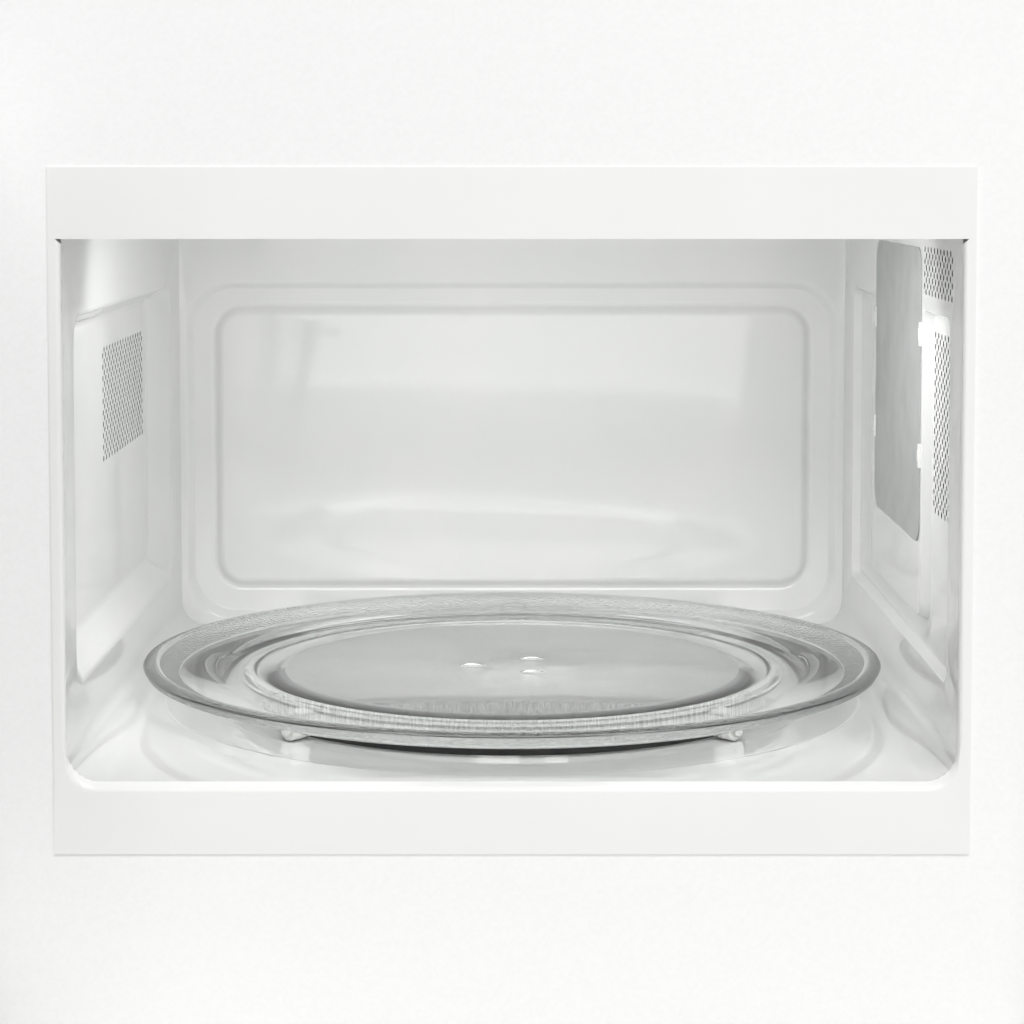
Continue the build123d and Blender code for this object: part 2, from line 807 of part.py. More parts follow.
def transformer():
    """High-voltage transformer: laminated core, two coils and a foot plate."""
    width, depth, height = transformer_size
    x0 = transformer_x
    y0 = transformer_y
    foot = block(x0 - 8, x0 + width + 8, y0 + 8, y0 + depth - 8, base_top, base_top + 2)
    core = block(x0, x0 + width, y0, y0 + depth, base_top + 2, base_top + height)
    low_coil = block(x0 + 16, x0 + width - 16, y0 - coil_overhang, y0 + depth + coil_overhang,
                     base_top + 14, base_top + 36)
    high_coil = block(x0 + 16, x0 + width - 16, y0 - coil_overhang, y0 + depth + coil_overhang,
                      base_top + 42, base_top + 66)
    coils = [chamfer(coil.edges().filter_by(Axis.Z), 8) for coil in (low_coil, high_coil)]
    return foot + core + coils


def capacitor():
    """Oval metal-can capacitor, standing, with two terminals."""
    x = case_right - case_sheet - capacitor_side_gap - capacitor_thickness / 2
    y = transformer_y + transformer_size[1] / 2
    seat = Plane((x, y, base_top), x_dir=(0, 1, 0), z_dir=(0, 0, 1))
    can = extrude(seat * Rectangle(capacitor_width, capacitor_thickness), capacitor_height)
    can = chamfer(can.edges().filter_by(Axis.Z), capacitor_thickness / 3)
    top = base_top + capacitor_height
    for side in (-1, 1):
        middle = y + side * capacitor_width / 4
        can = can + block(x - 0.5, x + 0.5, middle - 3, middle + 3, top, top + 9)
    return can


fan_back = case_back - 4.0
fan_front = fan_back - fan_depth


def fan_plate():
    """Steel plate with the fan's round air ring, standing on the base."""
    ring_radius = fan_radius + fan_gap
    half = ring_radius + 8
    plate = block(fan_x - half, fan_x + half, fan_front - fan_plate_sheet, fan_front, base_top, fan_z + half)
    ring = prism(facing_rear(fan_x, fan_front, fan_z), ring_radius + fan_plate_sheet, 24, fan_depth - 2)
    plate = plate + ring - prism(facing_rear(fan_x, fan_front - 3, fan_z), ring_radius, 24, fan_depth + 3)
    foot = block(fan_x - half, fan_x + half, fan_front - 16, fan_front, base_top, base_top + fan_plate_sheet)
    strap_z = 8.0
    strap = block(fan_x - half, fan_x + half, fan_front - fan_plate_sheet - 2, fan_front - fan_plate_sheet,
                  fan_z - strap_z, fan_z + strap_z)
    strap = strap - prism(facing_rear(fan_x, fan_front - 6, fan_z), fan_shaft_radius + 1.5, 8, 6)
    return plate + foot + strap


def fan_motor():
    """Shaded-pole motor of the fan: a laminated frame and its coil."""
    width, depth, height = fan_motor_size
    back = fan_front - fan_plate_sheet - 2
    frame = block(fan_x - width / 2, fan_x + width / 2, back - depth, back, fan_z - height / 2, fan_z + height / 2)
    frame = frame - block(fan_x - width / 2 + 8, fan_x - 18, back - depth - 1, back + 1, fan_z - 16, fan_z + 16)
    coil = block(fan_x - width / 2 - 6, fan_x - width / 2 + 8, back - depth + 2, back - 2, fan_z - 18, fan_z + 18)
    bore = rod_y(fan_x, back - depth - 1, back + 1, fan_z, fan_shaft_radius + 0.06)
    return frame + coil - bore


def fan_rotor():
    """Five-bladed fan on its shaft."""
    hub_front = fan_front + 3
    hub_back = fan_back - 5
    middle = (hub_front + hub_back) / 2
    rotor = prism(facing_rear(fan_x, hub_front, fan_z), fan_hub_radius, 20, hub_back - hub_front)
    chord = (hub_back - hub_front) / sin(radians(fan_blade_pitch)) * 0.8
    span = fan_radius - fan_hub_radius + 2
    for index in range(fan_blade_count):
        blade = Box(fan_blade_sheet, chord, span)
        blade = Rot(0, index * 360 / fan_blade_count, 0) * Pos(0, 0, fan_radius - span / 2) * Rot(
            0, 0, 90 - fan_blade_pitch) * blade
        rotor = rotor + Pos(fan_x, middle, fan_z) * blade
    width, depth, height = fan_motor_size
    shaft_front = fan_front - fan_plate_sheet - 2 - depth + 3
    shaft = rod_y(fan_x, shaft_front, hub_front, fan_z, fan_shaft_radius)
    return rotor + shaft


lamp_y = sum(lower_vent_y) / 2
lamp_z = 222.0


def oven_lamp():
    """Lamp bulb and holder on a bracket outside the lower right vent holes."""
    wall = half_width + right_press_depth + cavity_sheet
    plate = block(wall, wall + 1.5, lamp_y - 12, lamp_y + 12, lower_vent_z[0] - 18, lower_vent_z[0] - 6)
    arm = block(wall + 1.5, wall + 44, lamp_y - 8, lamp_y + 8, lower_vent_z[0] - 14, lower_vent_z[0] - 11)
    riser = block(wall + 41, wall + 44, lamp_y - 8, lamp_y + 8, lower_vent_z[0] - 11, lamp_z + 10)
    socket = prism(facing_right(wall + 28, lamp_y, lamp_z), 9, 12, 13)
    bulb = prism(facing_right(wall + 12, lamp_y, lamp_z), lamp_radius, 12, 16)
    bulb = bulb + prism(facing_right(wall + 6, lamp_y, lamp_z), lamp_radius - 4, 12, 6)
    return plate + arm + riser + socket + bulb


def filter_board():
    """Mains filter board on the case's right side, with its choke and fuse."""
    sheet, depth, height = filter_board_size
    x1 = case_right - case_sheet - board_stand
    y0 = filter_board_front
    z0 = case_top - filter_board_drop
    board = block(x1 - sheet, x1, y0, y0 + depth, z0, z0 + height)
    feet = block(x1, case_right - case_sheet, y0 + 6, y0 + 12, z0 + 24, z0 + 30)
    feet = feet + block(x1, case_right - case_sheet, y0 + depth - 12, y0 + depth - 6, z0 + 24, z0 + 30)
    choke = prism(facing_right(x1 - sheet - 18, y0 + 26, z0 + 30), 14, 12, 18)
    fuse = prism(facing_rear(x1 - sheet - 6, y0 + 48, z0 + 20), 3, 8, 26)
    clips = block(x1 - sheet - 8, x1 - sheet, y0 + 50, y0 + 54, z0 + 16, z0 + 18)
    clips = clips + block(x1 - sheet - 8, x1 - sheet, y0 + 68, y0 + 72, z0 + 16, z0 + 18)
    return board + feet + choke + fuse + clips


def thermal_cutouts():
    """Two button thermostats, on the oven's ceiling and on the waveguide."""
    top = ceiling_z + ceiling_press_height + cavity_sheet
    ears = block(48, 72, cavity_depth / 2 - 3, cavity_depth / 2 + 3, top, top + 1)
    on_ceiling = ears + prism(Plane((60, cavity_depth / 2, top)), 8, 12, 6)
    x = waveguide_x
    z = waveguide_top - 16
    ears = block(x, x + 1, mica_y - 12, mica_y + 12, z - 3, z + 3)
    on_guide = ears + prism(facing_right(x, mica_y, z), 8, 12, 6)
    return [on_ceiling, on_guide]


# Control panel

panel_inner_back = frame_front


def control_panel():
    """Moulded housing beside the door, open at the back."""
    shell = block(panel_left, front_right, panel_front, panel_inner_back, front_bottom, front_top)
    shell = chamfer(shell.faces().sort_by(Axis.Y)[0].edges(), edge_break)
    shell = shell - block(panel_left + panel_wall, front_right - panel_wall, panel_front + panel_wall,
                          panel_inner_back + 1, front_bottom + panel_wall, front_top - panel_wall)
    display_hole = block(panel_middle - display_width / 2, panel_middle + display_width / 2, panel_front - 1,
                         panel_front + panel_wall + 1, display_z - display_height / 2,
                         display_z + display_height / 2)
    shell = shell - display_hole
    shell = shell - rod_y(panel_middle, panel_front - 1, panel_front + panel_wall + 1, knob_z,
                          knob_spindle_radius + 1.0)
    for x in key_places():
        shell = shell - block(x - key_width / 2 - key_gap, x + key_width / 2 + key_gap, panel_front - 1,
                              panel_front + panel_wall + 1, key_z - key_height / 2 - key_gap,
                              key_z + key_height / 2 + key_gap)
    return shell - block(panel_middle - button_width / 2 - key_gap, panel_middle + button_width / 2 + key_gap,
                         panel_front - 1, panel_front + panel_wall + 1, button_z - button_height / 2 - key_gap,
                         button_z + button_height / 2 + key_gap)


def key_places():
    """Where the two keys are, across the panel."""
    return [panel_middle - key_spacing / 2, panel_middle + key_spacing / 2]


def display_window():
    """Tinted pane over the display."""
    y0 = panel_front
    return block(panel_middle - display_width / 2, panel_middle + display_width / 2, y0, y0 + display_glass,
                 display_z - display_height / 2, display_z + display_height / 2)


board_front = panel_front + 16.0


def control_board():
    """Circuit board behind the panel, on four posts, with the display, encoder and key switches."""
    x0 = panel_left + 8
    x1 = front_right - 8
    z0 = key_z - 22
    z1 = display_z + display_height / 2 + 14
    board = block(x0, x1, board_front, board_front + board_sheet, z0, z1)
    for x in (x0 + 5, x1 - 5):
        for z in (z0 + 5, z1 - 5):
            board = board + block(x - 2, x + 2, panel_front + panel_wall, board_front, z - 2, z + 2)
    module = block(panel_middle - display_width / 2 + 2, panel_middle + display_width / 2 - 2,
                   panel_front + display_glass, board_front, display_z - display_height / 2 + 2,
                   display_z + display_height / 2 - 2)
    encoder = block(panel_middle - 7, panel_middle + 7, board_front - 6, board_front, knob_z - 7, knob_z + 7)
    encoder = encoder - rod_y(panel_middle, board_front - 7, board_front - 1, knob_z, knob_spindle_radius + 0.06)
    board = board + module + encoder
    for x in key_places():
        board = board + block(x - 3, x + 3, board_front - 4, board_front, key_z - 3, key_z + 3)
    return board


def selector_knob():
    """Turned knob with a bevelled rim, and its spindle."""
    back = panel_front - knob_gap
    front = back - knob_height
    body = rod_y(panel_middle, front, back, knob_z, knob_radius)
    body = chamfer(body.edges().filter_by(GeomType.CIRCLE).sort_by(Axis.Y)[0], 1.6)
    spindle = rod_y(panel_middle, back, board_front - 2, knob_z, knob_spindle_radius)
    return body + spindle


def panel_key(x, width, height, z, travel, stem_end):
    """A key or button: its cap, a flange behind the panel and a stem."""
    front = panel_front - key_stand if travel < 2 else panel_front
    inner = panel_front + panel_wall
    cap = block(x - width / 2, x + width / 2, front, inner + 0.3, z - height / 2, z + height / 2)
    flange = block(x - width / 2 - 1.5, x + width / 2 + 1.5, inner + 0.3, inner + 0.3 + key_flange,
                   z - height / 2 - 1.5, z + height / 2 + 1.5)
    stem = block(x - 2, x + 2, inner + 0.3 + key_flange, stem_end, z - 2, z + 2)
    return cap + flange + stem


stem_x = panel_left + 12.0
stem_width = 8.0
stem_height = 10.0
stem_tip = frame_back + 14.0
wedge_height = stem_height - 1.0


def door_button():
    """Door-release button whose stem reaches through the front frame and ends in a wedge."""
    inner = panel_front + panel_wall + 0.3
    button = block(panel_middle - button_width / 2, panel_middle + button_width / 2, panel_front, inner,
                   button_z - button_height / 2, button_z + button_height / 2)
    flange = block(panel_middle - button_width / 2 - 1.5, panel_middle + button_width / 2 + 1.5, inner,
                   inner + key_flange, button_z - button_height / 2 - 1.5, button_z + button_height / 2 + 1.5)
    bar = block(stem_x - stem_width / 2, panel_middle, inner + key_flange, inner + key_flange + 6,
                button_z - stem_height / 2, button_z + stem_height / 2)
    stem = block(stem_x - stem_width / 2, stem_x + stem_width / 2, inner + key_flange + 6, stem_tip,
                 button_z - stem_height / 2, button_z + stem_height / 2)
    edge = stem.edges().filter_by(Axis.X).sort_by(Axis.Y)[-2:].sort_by(Axis.Z)[-1]
    stem = chamfer(edge, wedge_height)
    return button + flange + bar + stem


# Catch, release slide and switches behind the front frame

bracket_x = hook_x + hook_width / 2 + slot_clearance + 1.0
slide_x0 = bracket_x + bracket_sheet + 0.4
slide_x1 = slide_x0 + 4.0
slide_y0 = frame_back + 3.0
slide_y1 = slide_y0 + 9.0


def latch_bracket():
    """Moulded bracket behind the front frame, with a catch under each hook and seats for two switches."""
    low = slot_z[0] - 32
    high = slot_z[1] + 40
    depth = switch_front + switch_depth + 8
    bracket = block(bracket_x, bracket_x + bracket_sheet, frame_back, depth, low, high)
    flange = block(bracket_x, bracket_x + 18, frame_back, frame_back + 2, low, low + 14)
    flange = flange + block(bracket_x, bracket_x + 18, frame_back, frame_back + 2, high - 14, high)
    bracket = bracket + flange
    for low in slot_z:
        catch = block(catch_x0, catch_x0 + catch_width, frame_back, catch_back, low - 7, low - catch_drop)
        web = block(catch_x0, bracket_x, frame_back, catch_back, low - 10, low - 7)
        seat_z = low + hook_body / 2
        seat = block(hook_x - switch_width / 2, bracket_x, switch_front + 2, switch_front + switch_depth,
                     seat_z - switch_height / 2 - 2, seat_z - switch_height / 2)
        finger_top = low - hook_nose - finger_drop
        window = block(bracket_x - 1, bracket_x + bracket_sheet + 1, finger_y0 - 1.5, hook_reach + 1.5,
                       finger_top - finger_height - 1.0, finger_top + button_travel + 1.0)
        bracket = bracket + catch + web + seat - window
    return bracket


catch_x0 = hook_x - hook_width / 2 - slot_clearance + 1.0
catch_back = hook_reach - hook_nose_length - catch_gap
switch_front = hook_reach + switch_gap
finger_x0 = hook_x - hook_width / 2 + 0.5
finger_y0 = hook_reach - hook_nose_length + 0.5


def switch_z(low):
    """Height of the switch that the hook at this height works."""
    return low + hook_body / 2


def interlock_switches():
    """Two snap switches that the hooks work."""
    switches = []
    for low in slot_z:
        z = switch_z(low)
        body = block(hook_x - switch_width / 2, hook_x + switch_width / 2, switch_front, switch_front + switch_depth,
                     z - switch_height / 2, z + switch_height / 2)
        body = body + block(hook_x + switch_width / 2, bracket_x, switch_front + 4, switch_front + 10, z - 4, z + 4)
        bore = rod_y(hook_x, switch_front - 1, switch_front + plunger_seat, z, plunger_radius + plunger_clearance)
        switches.append(body - bore)
    return switches


def switch_plunger(low):
    """The plunger of one switch."""
    end = switch_front + plunger_seat - plunger_stroke - 0.3
    return rod_y(hook_x, hook_reach + plunger_gap, end, switch_z(low), plunger_radius)


def release_slide():
    """Slide that the button's wedge lifts, with a finger under the nose of each hook."""
    low = button_z - stem_height / 2 + 1.5
    top = slot_z[1] - finger_drop
    bar = block(slide_x0, slide_x1, slide_y0, slide_y1, low + 6, top)
    foot = block(slide_x0, stem_x + stem_width / 2, slide_y0, stem_tip + 4, low, low + 16)
    slope_sum = button_z + stem_height / 2 + stem_tip - wedge_height + wedge_clearance * sqrt(2)
    far = low + 60
    cutter = Polyline((slide_y0 - 20, low - 20), (slope_sum - low + 20, low - 20),
                      (slope_sum - far, far), (slide_y0 - 20, far), close=True)
    wedge_cut = Pos(stem_x - stem_width / 2 - 1.5, 0, 0) * extrude(Plane.YZ * make_face(cutter), stem_width + 3)
    result = bar + (foot - wedge_cut)
    for low in slot_z:
        finger_top = low - hook_nose - finger_drop
        result = result + block(finger_x0, slide_x0, finger_y0, hook_reach, finger_top - finger_height, finger_top)
    return result


# Door, drawn closed


def door_skin():
    """Outer skin of the door, with the window opening."""
    skin = block(front_left, door_right, door_front, door_front + door_skin_depth, front_bottom, front_top)
    skin = chamfer(skin.faces().sort_by(Axis.Y)[0].edges(), edge_break)
    half = door_window_width / 2
    skin = skin - block(-half, half, door_front - 1, door_front + door_skin_depth + 1, door_window_bottom,
                        door_window_bottom + door_window_height)
    wall = 2.5
    back = door_front + door_skin_depth
    pocket = block(front_left + wall, door_right - wall, door_front + 3.0, back + 1, front_bottom + wall,
                   front_top - wall)
    rim = block(-half - 5, half + 5, door_front - 1, back + 2, door_window_bottom - 5,
                door_window_bottom + door_window_height + 5)
    return skin - (pocket - rim)


def door_outer_glass():
    """Tinted glass in the door's skin."""
    half = door_window_width / 2
    y0 = door_front + 0.8
    return block(-half, half, y0, y0 + outer_glass, door_window_bottom, door_window_bottom + door_window_height)


frame_y0 = door_front + door_skin_depth
frame_y1 = door_back - choke_depth


def door_frame():
    """Welded steel frame of the door: a pan open to the front, round the window."""
    x0 = front_left + door_frame_inset - 6
    x1 = door_right - 2
    z0 = front_bottom + door_frame_inset
    z1 = front_top - door_frame_inset
    half = door_inner_window_width / 2
    low = door_inner_window_bottom
    high = low + door_inner_window_height
    sheet = door_frame_sheet
    pan = block(x0, x1, frame_y0, frame_y1, z0, z1)
    pan = pan - block(-half, half, frame_y0 - 1, frame_y1 + 1, low, high)
    hollow = block(x0 + sheet, x1 - sheet, frame_y0 - 1, frame_y1 - sheet, z0 + sheet, z1 - sheet)
    hollow = hollow - block(-half - sheet, half + sheet, frame_y0 - 2, frame_y1 + 2, low - sheet, high + sheet)
    pan = pan - hollow
    for z in (z0, z1):
        inward = 1 if z == z0 else -1
        eye = block(x0, hinge_x + hinge_pin_radius + 3, hinge_y - hinge_pin_radius - 3, hinge_y + hinge_pin_radius + 3,
                    min(z, z + inward * 12), max(z, z + inward * 12))
        pan = pan + eye
        pan = pan - post(hinge_x, hinge_y, z - 14, z + 14, hinge_pin_radius + hinge_pin_clearance)
    for low in slot_z:
        pan = pan - block(hook_x - hook_width / 2 - 0.8, hook_x + hook_width / 2 + 0.8, frame_y1 - 4, frame_y1 + 1,
                          low - hook_nose - 1, low + hook_body + hook_travel + 1)
    for low in (slot_z[0] - 12, slot_z[1] + hook_body + 10):
        pan = pan + block(hook_x - hook_width / 2 - 3, hook_x - hook_width / 2 - 0.3, bar_y0, frame_y1 - sheet,
                          low, low + 6)
        pan = pan + block(hook_x + hook_width / 2 + 0.3, hook_x + hook_width / 2 + 3, bar_y0, frame_y1 - sheet,
                          low, low + 6)
    return pan


bar_y1 = frame_y1 - door_frame_sheet - 0.3
bar_y0 = bar_y1 - hook_bar_depth


def latch_hooks():
    """Bar with two hooks that slides in the door and catches behind the front frame."""
    x0 = hook_x - hook_width / 2
    x1 = hook_x + hook_width / 2
    bar = block(x0, x1, bar_y0, bar_y1, slot_z[0] - 14, slot_z[1] + hook_body + 18)
    for low in slot_z:
        arm = block(x0, x1, bar_y1, hook_reach, low, low + hook_body)
        nose = block(x0, x1, hook_reach - hook_nose_length, hook_reach, low - hook_nose, low)
        edge = nose.edges().filter_by(Axis.X).sort_by(Axis.Y)[-2:].sort_by(Axis.Z)[0]
        bar = bar + arm + chamfer(edge, hook_nose - 1)
    return bar


def door_screen():
    """Punched steel screen behind the door's window."""
    half = door_inner_window_width / 2
    low = door_inner_window_bottom
    high = low + door_inner_window_height
    y1 = frame_y1
    screen = block(-half, half, y1 - screen_sheet, y1, low, high)
    margin = 10.0
    plane = Plane((0, y1 - 2, 0), x_dir=(1, 0, 0), z_dir=(0, 1, 0))
    punches = [
        extrude(plane * Pos(x, -z) * RegularPolygon(screen_hole_radius, 6), 4)
        for x, z in staggered((-half + margin, half - margin), (low + margin, high - margin), screen_pitch)
    ]
    return screen - punches


def choke_cover():
    """Moulded cover over the door's microwave choke, round the inner window."""
    x0 = -half_width - choke_side
    x1 = half_width + choke_side
    z0 = opening_bottom - choke_side
    z1 = opening_top + choke_side
    half = door_inner_window_width / 2
    low = door_inner_window_bottom
    high = low + door_inner_window_height
    cover = block(x0, x1, frame_y1, door_back, z0, z1)
    cover = chamfer(cover.faces().sort_by(Axis.Y)[-1].edges(), 2)
    return cover - block(-half, half, frame_y1 - 1, door_back + 1, low, high)


def door_inner_window():
    """Clear pane on the oven side of the door."""
    half = door_inner_window_width / 2
    low = door_inner_window_bottom
    high = low + door_inner_window_height
    return block(-half, half, frame_y1, frame_y1 + inner_glass, low, high)


def hinge_brackets():
    """Upper and lower hinge leaves on the front frame, each with its pin."""
    brackets = []
    z_low = front_bottom + door_frame_inset
    z_high = front_top - door_frame_inset
    for z, inward in ((z_low, 1), (z_high, -1)):
        face = z - inward * hinge_gap
        back = face - inward * hinge_leaf
        z0 = min(face, back)
        z1 = max(face, back)
        leaf = block(hinge_x - 7, hinge_x + 7, hinge_y - 6, frame_front, z0, z1)
        leaf = chamfer(leaf.edges().filter_by(Axis.Z).sort_by(Axis.Y)[:2], 4)
        pin = post(hinge_x, hinge_y, min(face, face + inward * hinge_pin_length),
                   max(face, face + inward * hinge_pin_length), hinge_pin_radius)
        tab_z0 = z0 if inward < 0 else z1 - 5.0
        tab = block(hinge_x - 7, hinge_x + 7, frame_front - 2, frame_front, tab_z0, tab_z0 + 5.0)
        brackets.append(leaf + pin + tab)
    return brackets


def swung(shape):
    """A piece of the door, turned about the hinge from closed to open."""
    turn = Pos(hinge_x, hinge_y, 0) * Rot(0, 0, -door_open_angle) * Pos(-hinge_x, -hinge_y, 0)
    return turn * shape


def write(name, shape):
    """Write one node, as a compound where it is several solids."""
    if isinstance(shape, list):
        solids = [solid for piece in shape for solid in piece.solids()]
        shape = Compound(solids)
    export_step(shape, "parts/" + name + ".step")


fixed_pieces = {
    "cavity_wrap": cavity_wrap,
    "cavity_ceiling": cavity_ceiling,
    "cavity_back": cavity_back,
    "cavity_front_plate": cavity_front_plate,
    "waveguide_cover": waveguide_cover,
    "mica_clips": mica_clips,
    "front_frame": front_frame,
    "base_plate": base_plate,
    "base_feet": base_feet,
    "outer_case": outer_case,
    "rear_panel": rear_panel,
    "cable_inlet": cable_inlet,
    "case_screws": case_screws,
    "glass_tray": glass_tray,
    "turntable_coupler": turntable_coupler,
    "drive_shaft": drive_shaft,
    "turntable_motor": turntable_motor,
    "roller_ring": roller_ring,
    "waveguide": waveguide,
    "magnetron": magnetron,
    "transformer": transformer,
    "capacitor": capacitor,
    "fan_plate": fan_plate,
    "fan_motor": fan_motor,
    "fan_rotor": fan_rotor,
    "oven_lamp": oven_lamp,
    "filter_board": filter_board,
    "thermal_cutouts": thermal_cutouts,
    "control_panel": control_panel,
    "display_window": display_window,
    "control_board": control_board,
    "selector_knob": selector_knob,
    "door_button": door_button,
    "latch_bracket": latch_bracket,
    "interlock_switches": interlock_switches,
    "release_slide": release_slide,
    "hinge_brackets": hinge_brackets,
}

door_pieces = {
    "door_skin": door_skin,
    "door_outer_glass": door_outer_glass,
    "door_frame": door_frame,
    "door_screen": door_screen,
    "choke_cover": choke_cover,
    "door_inner_window": door_inner_window,
    "latch_hooks": latch_hooks,
}

for name, make in fixed_pieces.items():
    write(name, make())

for name, make in door_pieces.items():
    write(name, swung(make()))

for index, angle in enumerate(roller_angles()):
    write("roller_" + str(index + 1), roller(angle))

for name, low in zip(("lower_plunger", "upper_plunger"), slot_z):
    write(name, switch_plunger(low))

for name, x in zip(("start_key", "stop_key"), key_places()):
    write(name, panel_key(x, key_width, key_height, key_z, key_travel, board_front - 4 - key_travel - 0.3))
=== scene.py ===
import bmesh
import bpy
from math import atan2, cos, hypot, pi, radians, sin
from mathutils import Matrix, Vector


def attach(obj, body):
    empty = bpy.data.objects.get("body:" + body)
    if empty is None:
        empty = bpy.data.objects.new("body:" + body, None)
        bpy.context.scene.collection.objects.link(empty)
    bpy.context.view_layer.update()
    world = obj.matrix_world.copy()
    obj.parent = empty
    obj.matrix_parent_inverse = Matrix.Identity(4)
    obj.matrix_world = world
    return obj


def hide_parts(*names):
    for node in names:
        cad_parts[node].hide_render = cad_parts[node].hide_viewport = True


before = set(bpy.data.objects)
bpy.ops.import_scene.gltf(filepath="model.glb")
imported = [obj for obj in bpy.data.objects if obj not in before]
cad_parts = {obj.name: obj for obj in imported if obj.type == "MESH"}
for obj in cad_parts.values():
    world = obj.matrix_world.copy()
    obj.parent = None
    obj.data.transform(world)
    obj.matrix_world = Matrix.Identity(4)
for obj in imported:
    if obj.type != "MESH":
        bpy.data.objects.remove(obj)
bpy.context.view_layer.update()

# Studio floor
# A painted floor that runs off in all directions, as in a studio. It is pale grey, matt and slightly uneven,
# so that the oven's soft shadow shows on it.

mm = 0.001


def select_none():
    """Leaves edit mode and deselects everything, so that the next operator acts on one piece."""
    if bpy.context.mode != "OBJECT":
        bpy.ops.object.mode_set(mode="OBJECT")
    bpy.ops.object.select_all(action="DESELECT")


def linear(colour):
    """The linear values of an sRGB colour written as six hex digits."""
    values = [int(colour[index:index + 2], 16) / 255 for index in (0, 2, 4)]
    return [v / 12.92 if v <= 0.04045 else ((v + 0.055) / 1.055) ** 2.4 for v in values] + [1.0]


def add_node(material, kind, values=None, links=None, settings=None, stops=()):
    """Adds a node with its values, links, settings and two colour stops. A link is a node and its output.

    A pattern that is linked to no other place reads the object's coordinates, and a shader meets the output.
    """
    tree = material.node_tree
    node = tree.nodes.new("ShaderNode" + kind)
    links = dict(links or {})
    if kind.startswith(("Tex", "Mapping")) and "Vector" in node.inputs:
        links.setdefault("Vector", (tree.nodes["place"], "Object"))
    for key, value in (settings or {}).items():
        setattr(node, key, value)
    for key, value in (values or {}).items():
        node.inputs[key].default_value = value
    for key, (source, output) in links.items():
        tree.links.new(source.outputs[output], node.inputs[key])
    for index, (place, colour) in enumerate(stops):
        stop = node.color_ramp.elements[index]
        stop.position = place
        stop.color = linear(colour)
    if kind == "BsdfPrincipled":
        add_node(material, "OutputMaterial", {}, {"Surface": (node, "BSDF")})
    return node


def new_material(name):
    """A material made of nodes, which holds only the coordinates of its object so far."""
    material = bpy.data.materials.new(name)
    material.use_nodes = True
    material.node_tree.nodes.clear()
    add_node(material, "TexCoord", settings={"name": "place"})
    return material


def grained_material(name, grain, tones=(), relief=(), gloss=(), finish=None, places=(0.3, 0.7),
                     kind="TexNoise", settings=None, move=None):
    """A material with one pattern, which varies its tone, its relief and its gloss where these are given."""
    material = new_material(name)
    moved = {"Vector": (add_node(material, "Mapping", move), "Vector")} if move else {}
    pattern = add_node(material, kind, grain, moved, settings)
    looks = {}
    if tones:
        tone = add_node(material, "ValToRGB", {}, {"Fac": (pattern, "Fac")}, stops=zip(places, tones))
        looks["Base Color"] = (tone, "Color")
    if relief:
        bumps = add_node(material, "Bump", {"Strength": relief[0], "Distance": relief[1]},
                         {"Height": (pattern, "Fac")})
        looks["Normal"] = (bumps, "Normal")
    if gloss:
        sheen = add_node(material, "MapRange", {"To Min": gloss[0], "To Max": gloss[1]},
                         {"Value": (pattern, "Fac")})
        looks["Roughness"] = (sheen, "Result")
    add_node(material, "BsdfPrincipled", finish, looks)
    return material


studio_paint = grained_material("studio_paint", {"Scale": 1.5, "Detail": 2.0}, ("DEDEDC", "E8E8E6"),
                                finish={"Roughness": 0.7}, places=(0.0, 1.0))
select_none()
bpy.ops.mesh.primitive_plane_add(size=12, location=(0, 0, 0))
studio_floor = bpy.context.object
studio_floor.name = "studio_floor"
studio_floor.data.materials.append(studio_paint)

# Camera and light
# The camera looks straight into the open oven from just above it. Three wide soft lights stand in front of
# it, two small ones under the oven's ceiling fill it, and a pale room all round softens the shadows.

camera_distance = 896.98
camera_height = 318.0
camera_tilt = 0.06259

camera_data = bpy.data.cameras.new("camera")
camera_data.lens = 86.97
camera_data.sensor_width = 36
camera_data.shift_y = -0.18
camera = bpy.data.objects.new("camera", camera_data)
bpy.context.collection.objects.link(camera)
camera.location = (0, -camera_distance * mm, camera_height * mm)
camera.rotation_euler = (pi / 2 - camera_tilt, 0, 0)
bpy.context.scene.camera = camera
bpy.context.scene.view_settings.view_transform = "Standard"

room = bpy.data.worlds.new("room")
bpy.context.scene.world = room
room.use_nodes = True
room.node_tree.nodes["Background"].inputs["Color"].default_value = linear("FFFFFF")
room.node_tree.nodes["Background"].inputs["Strength"].default_value = 0.3


def soft_light(name, place, target, width, height, power, shown=True):
    """A rectangular soft light that faces a point. One that isn't shown has no reflection either."""
    light_data = bpy.data.lights.new(name, "AREA")
    light_data.shape = "RECTANGLE"
    light_data.size = width
    light_data.size_y = height
    light_data.energy = power
    light = bpy.data.objects.new(name, light_data)
    bpy.context.collection.objects.link(light)
    light.location = place
    light.rotation_euler = (Vector(target) - Vector(place)).to_track_quat("-Z", "Y").to_euler()
    if not shown:
        light.visible_camera = False
        light.visible_glossy = False


soft_light("high_light", (1.2, -3.0, 4.0), (0, 0, 0.2), 1.6, 1.6, 113)
soft_light("front_light", (0, -5.0, 2.6), (0, 0, 0.2), 2.0, 1.0, 66)
soft_light("low_light", (0, -4.0, 0.25), (0, 0, 0.2), 2.0, 1.0, 15.3)
soft_light("oven_front_light", (0, 0.05, 0.285), (0, 0.32, 0.15), 0.26, 0.10, 0.36, shown=False)
soft_light("oven_top_light", (-0.01, 0.07, 0.2955), (-0.01, 0.12, 0.1), 0.26, 0.03, 0.085, shown=False)

# Oven liner
# Floor and both side walls of the oven, pressed from one steel sheet and coated inside with glossy white
# enamel. The left wall has a deep pressing, and the one on the right leaves a raised pad for the mica.

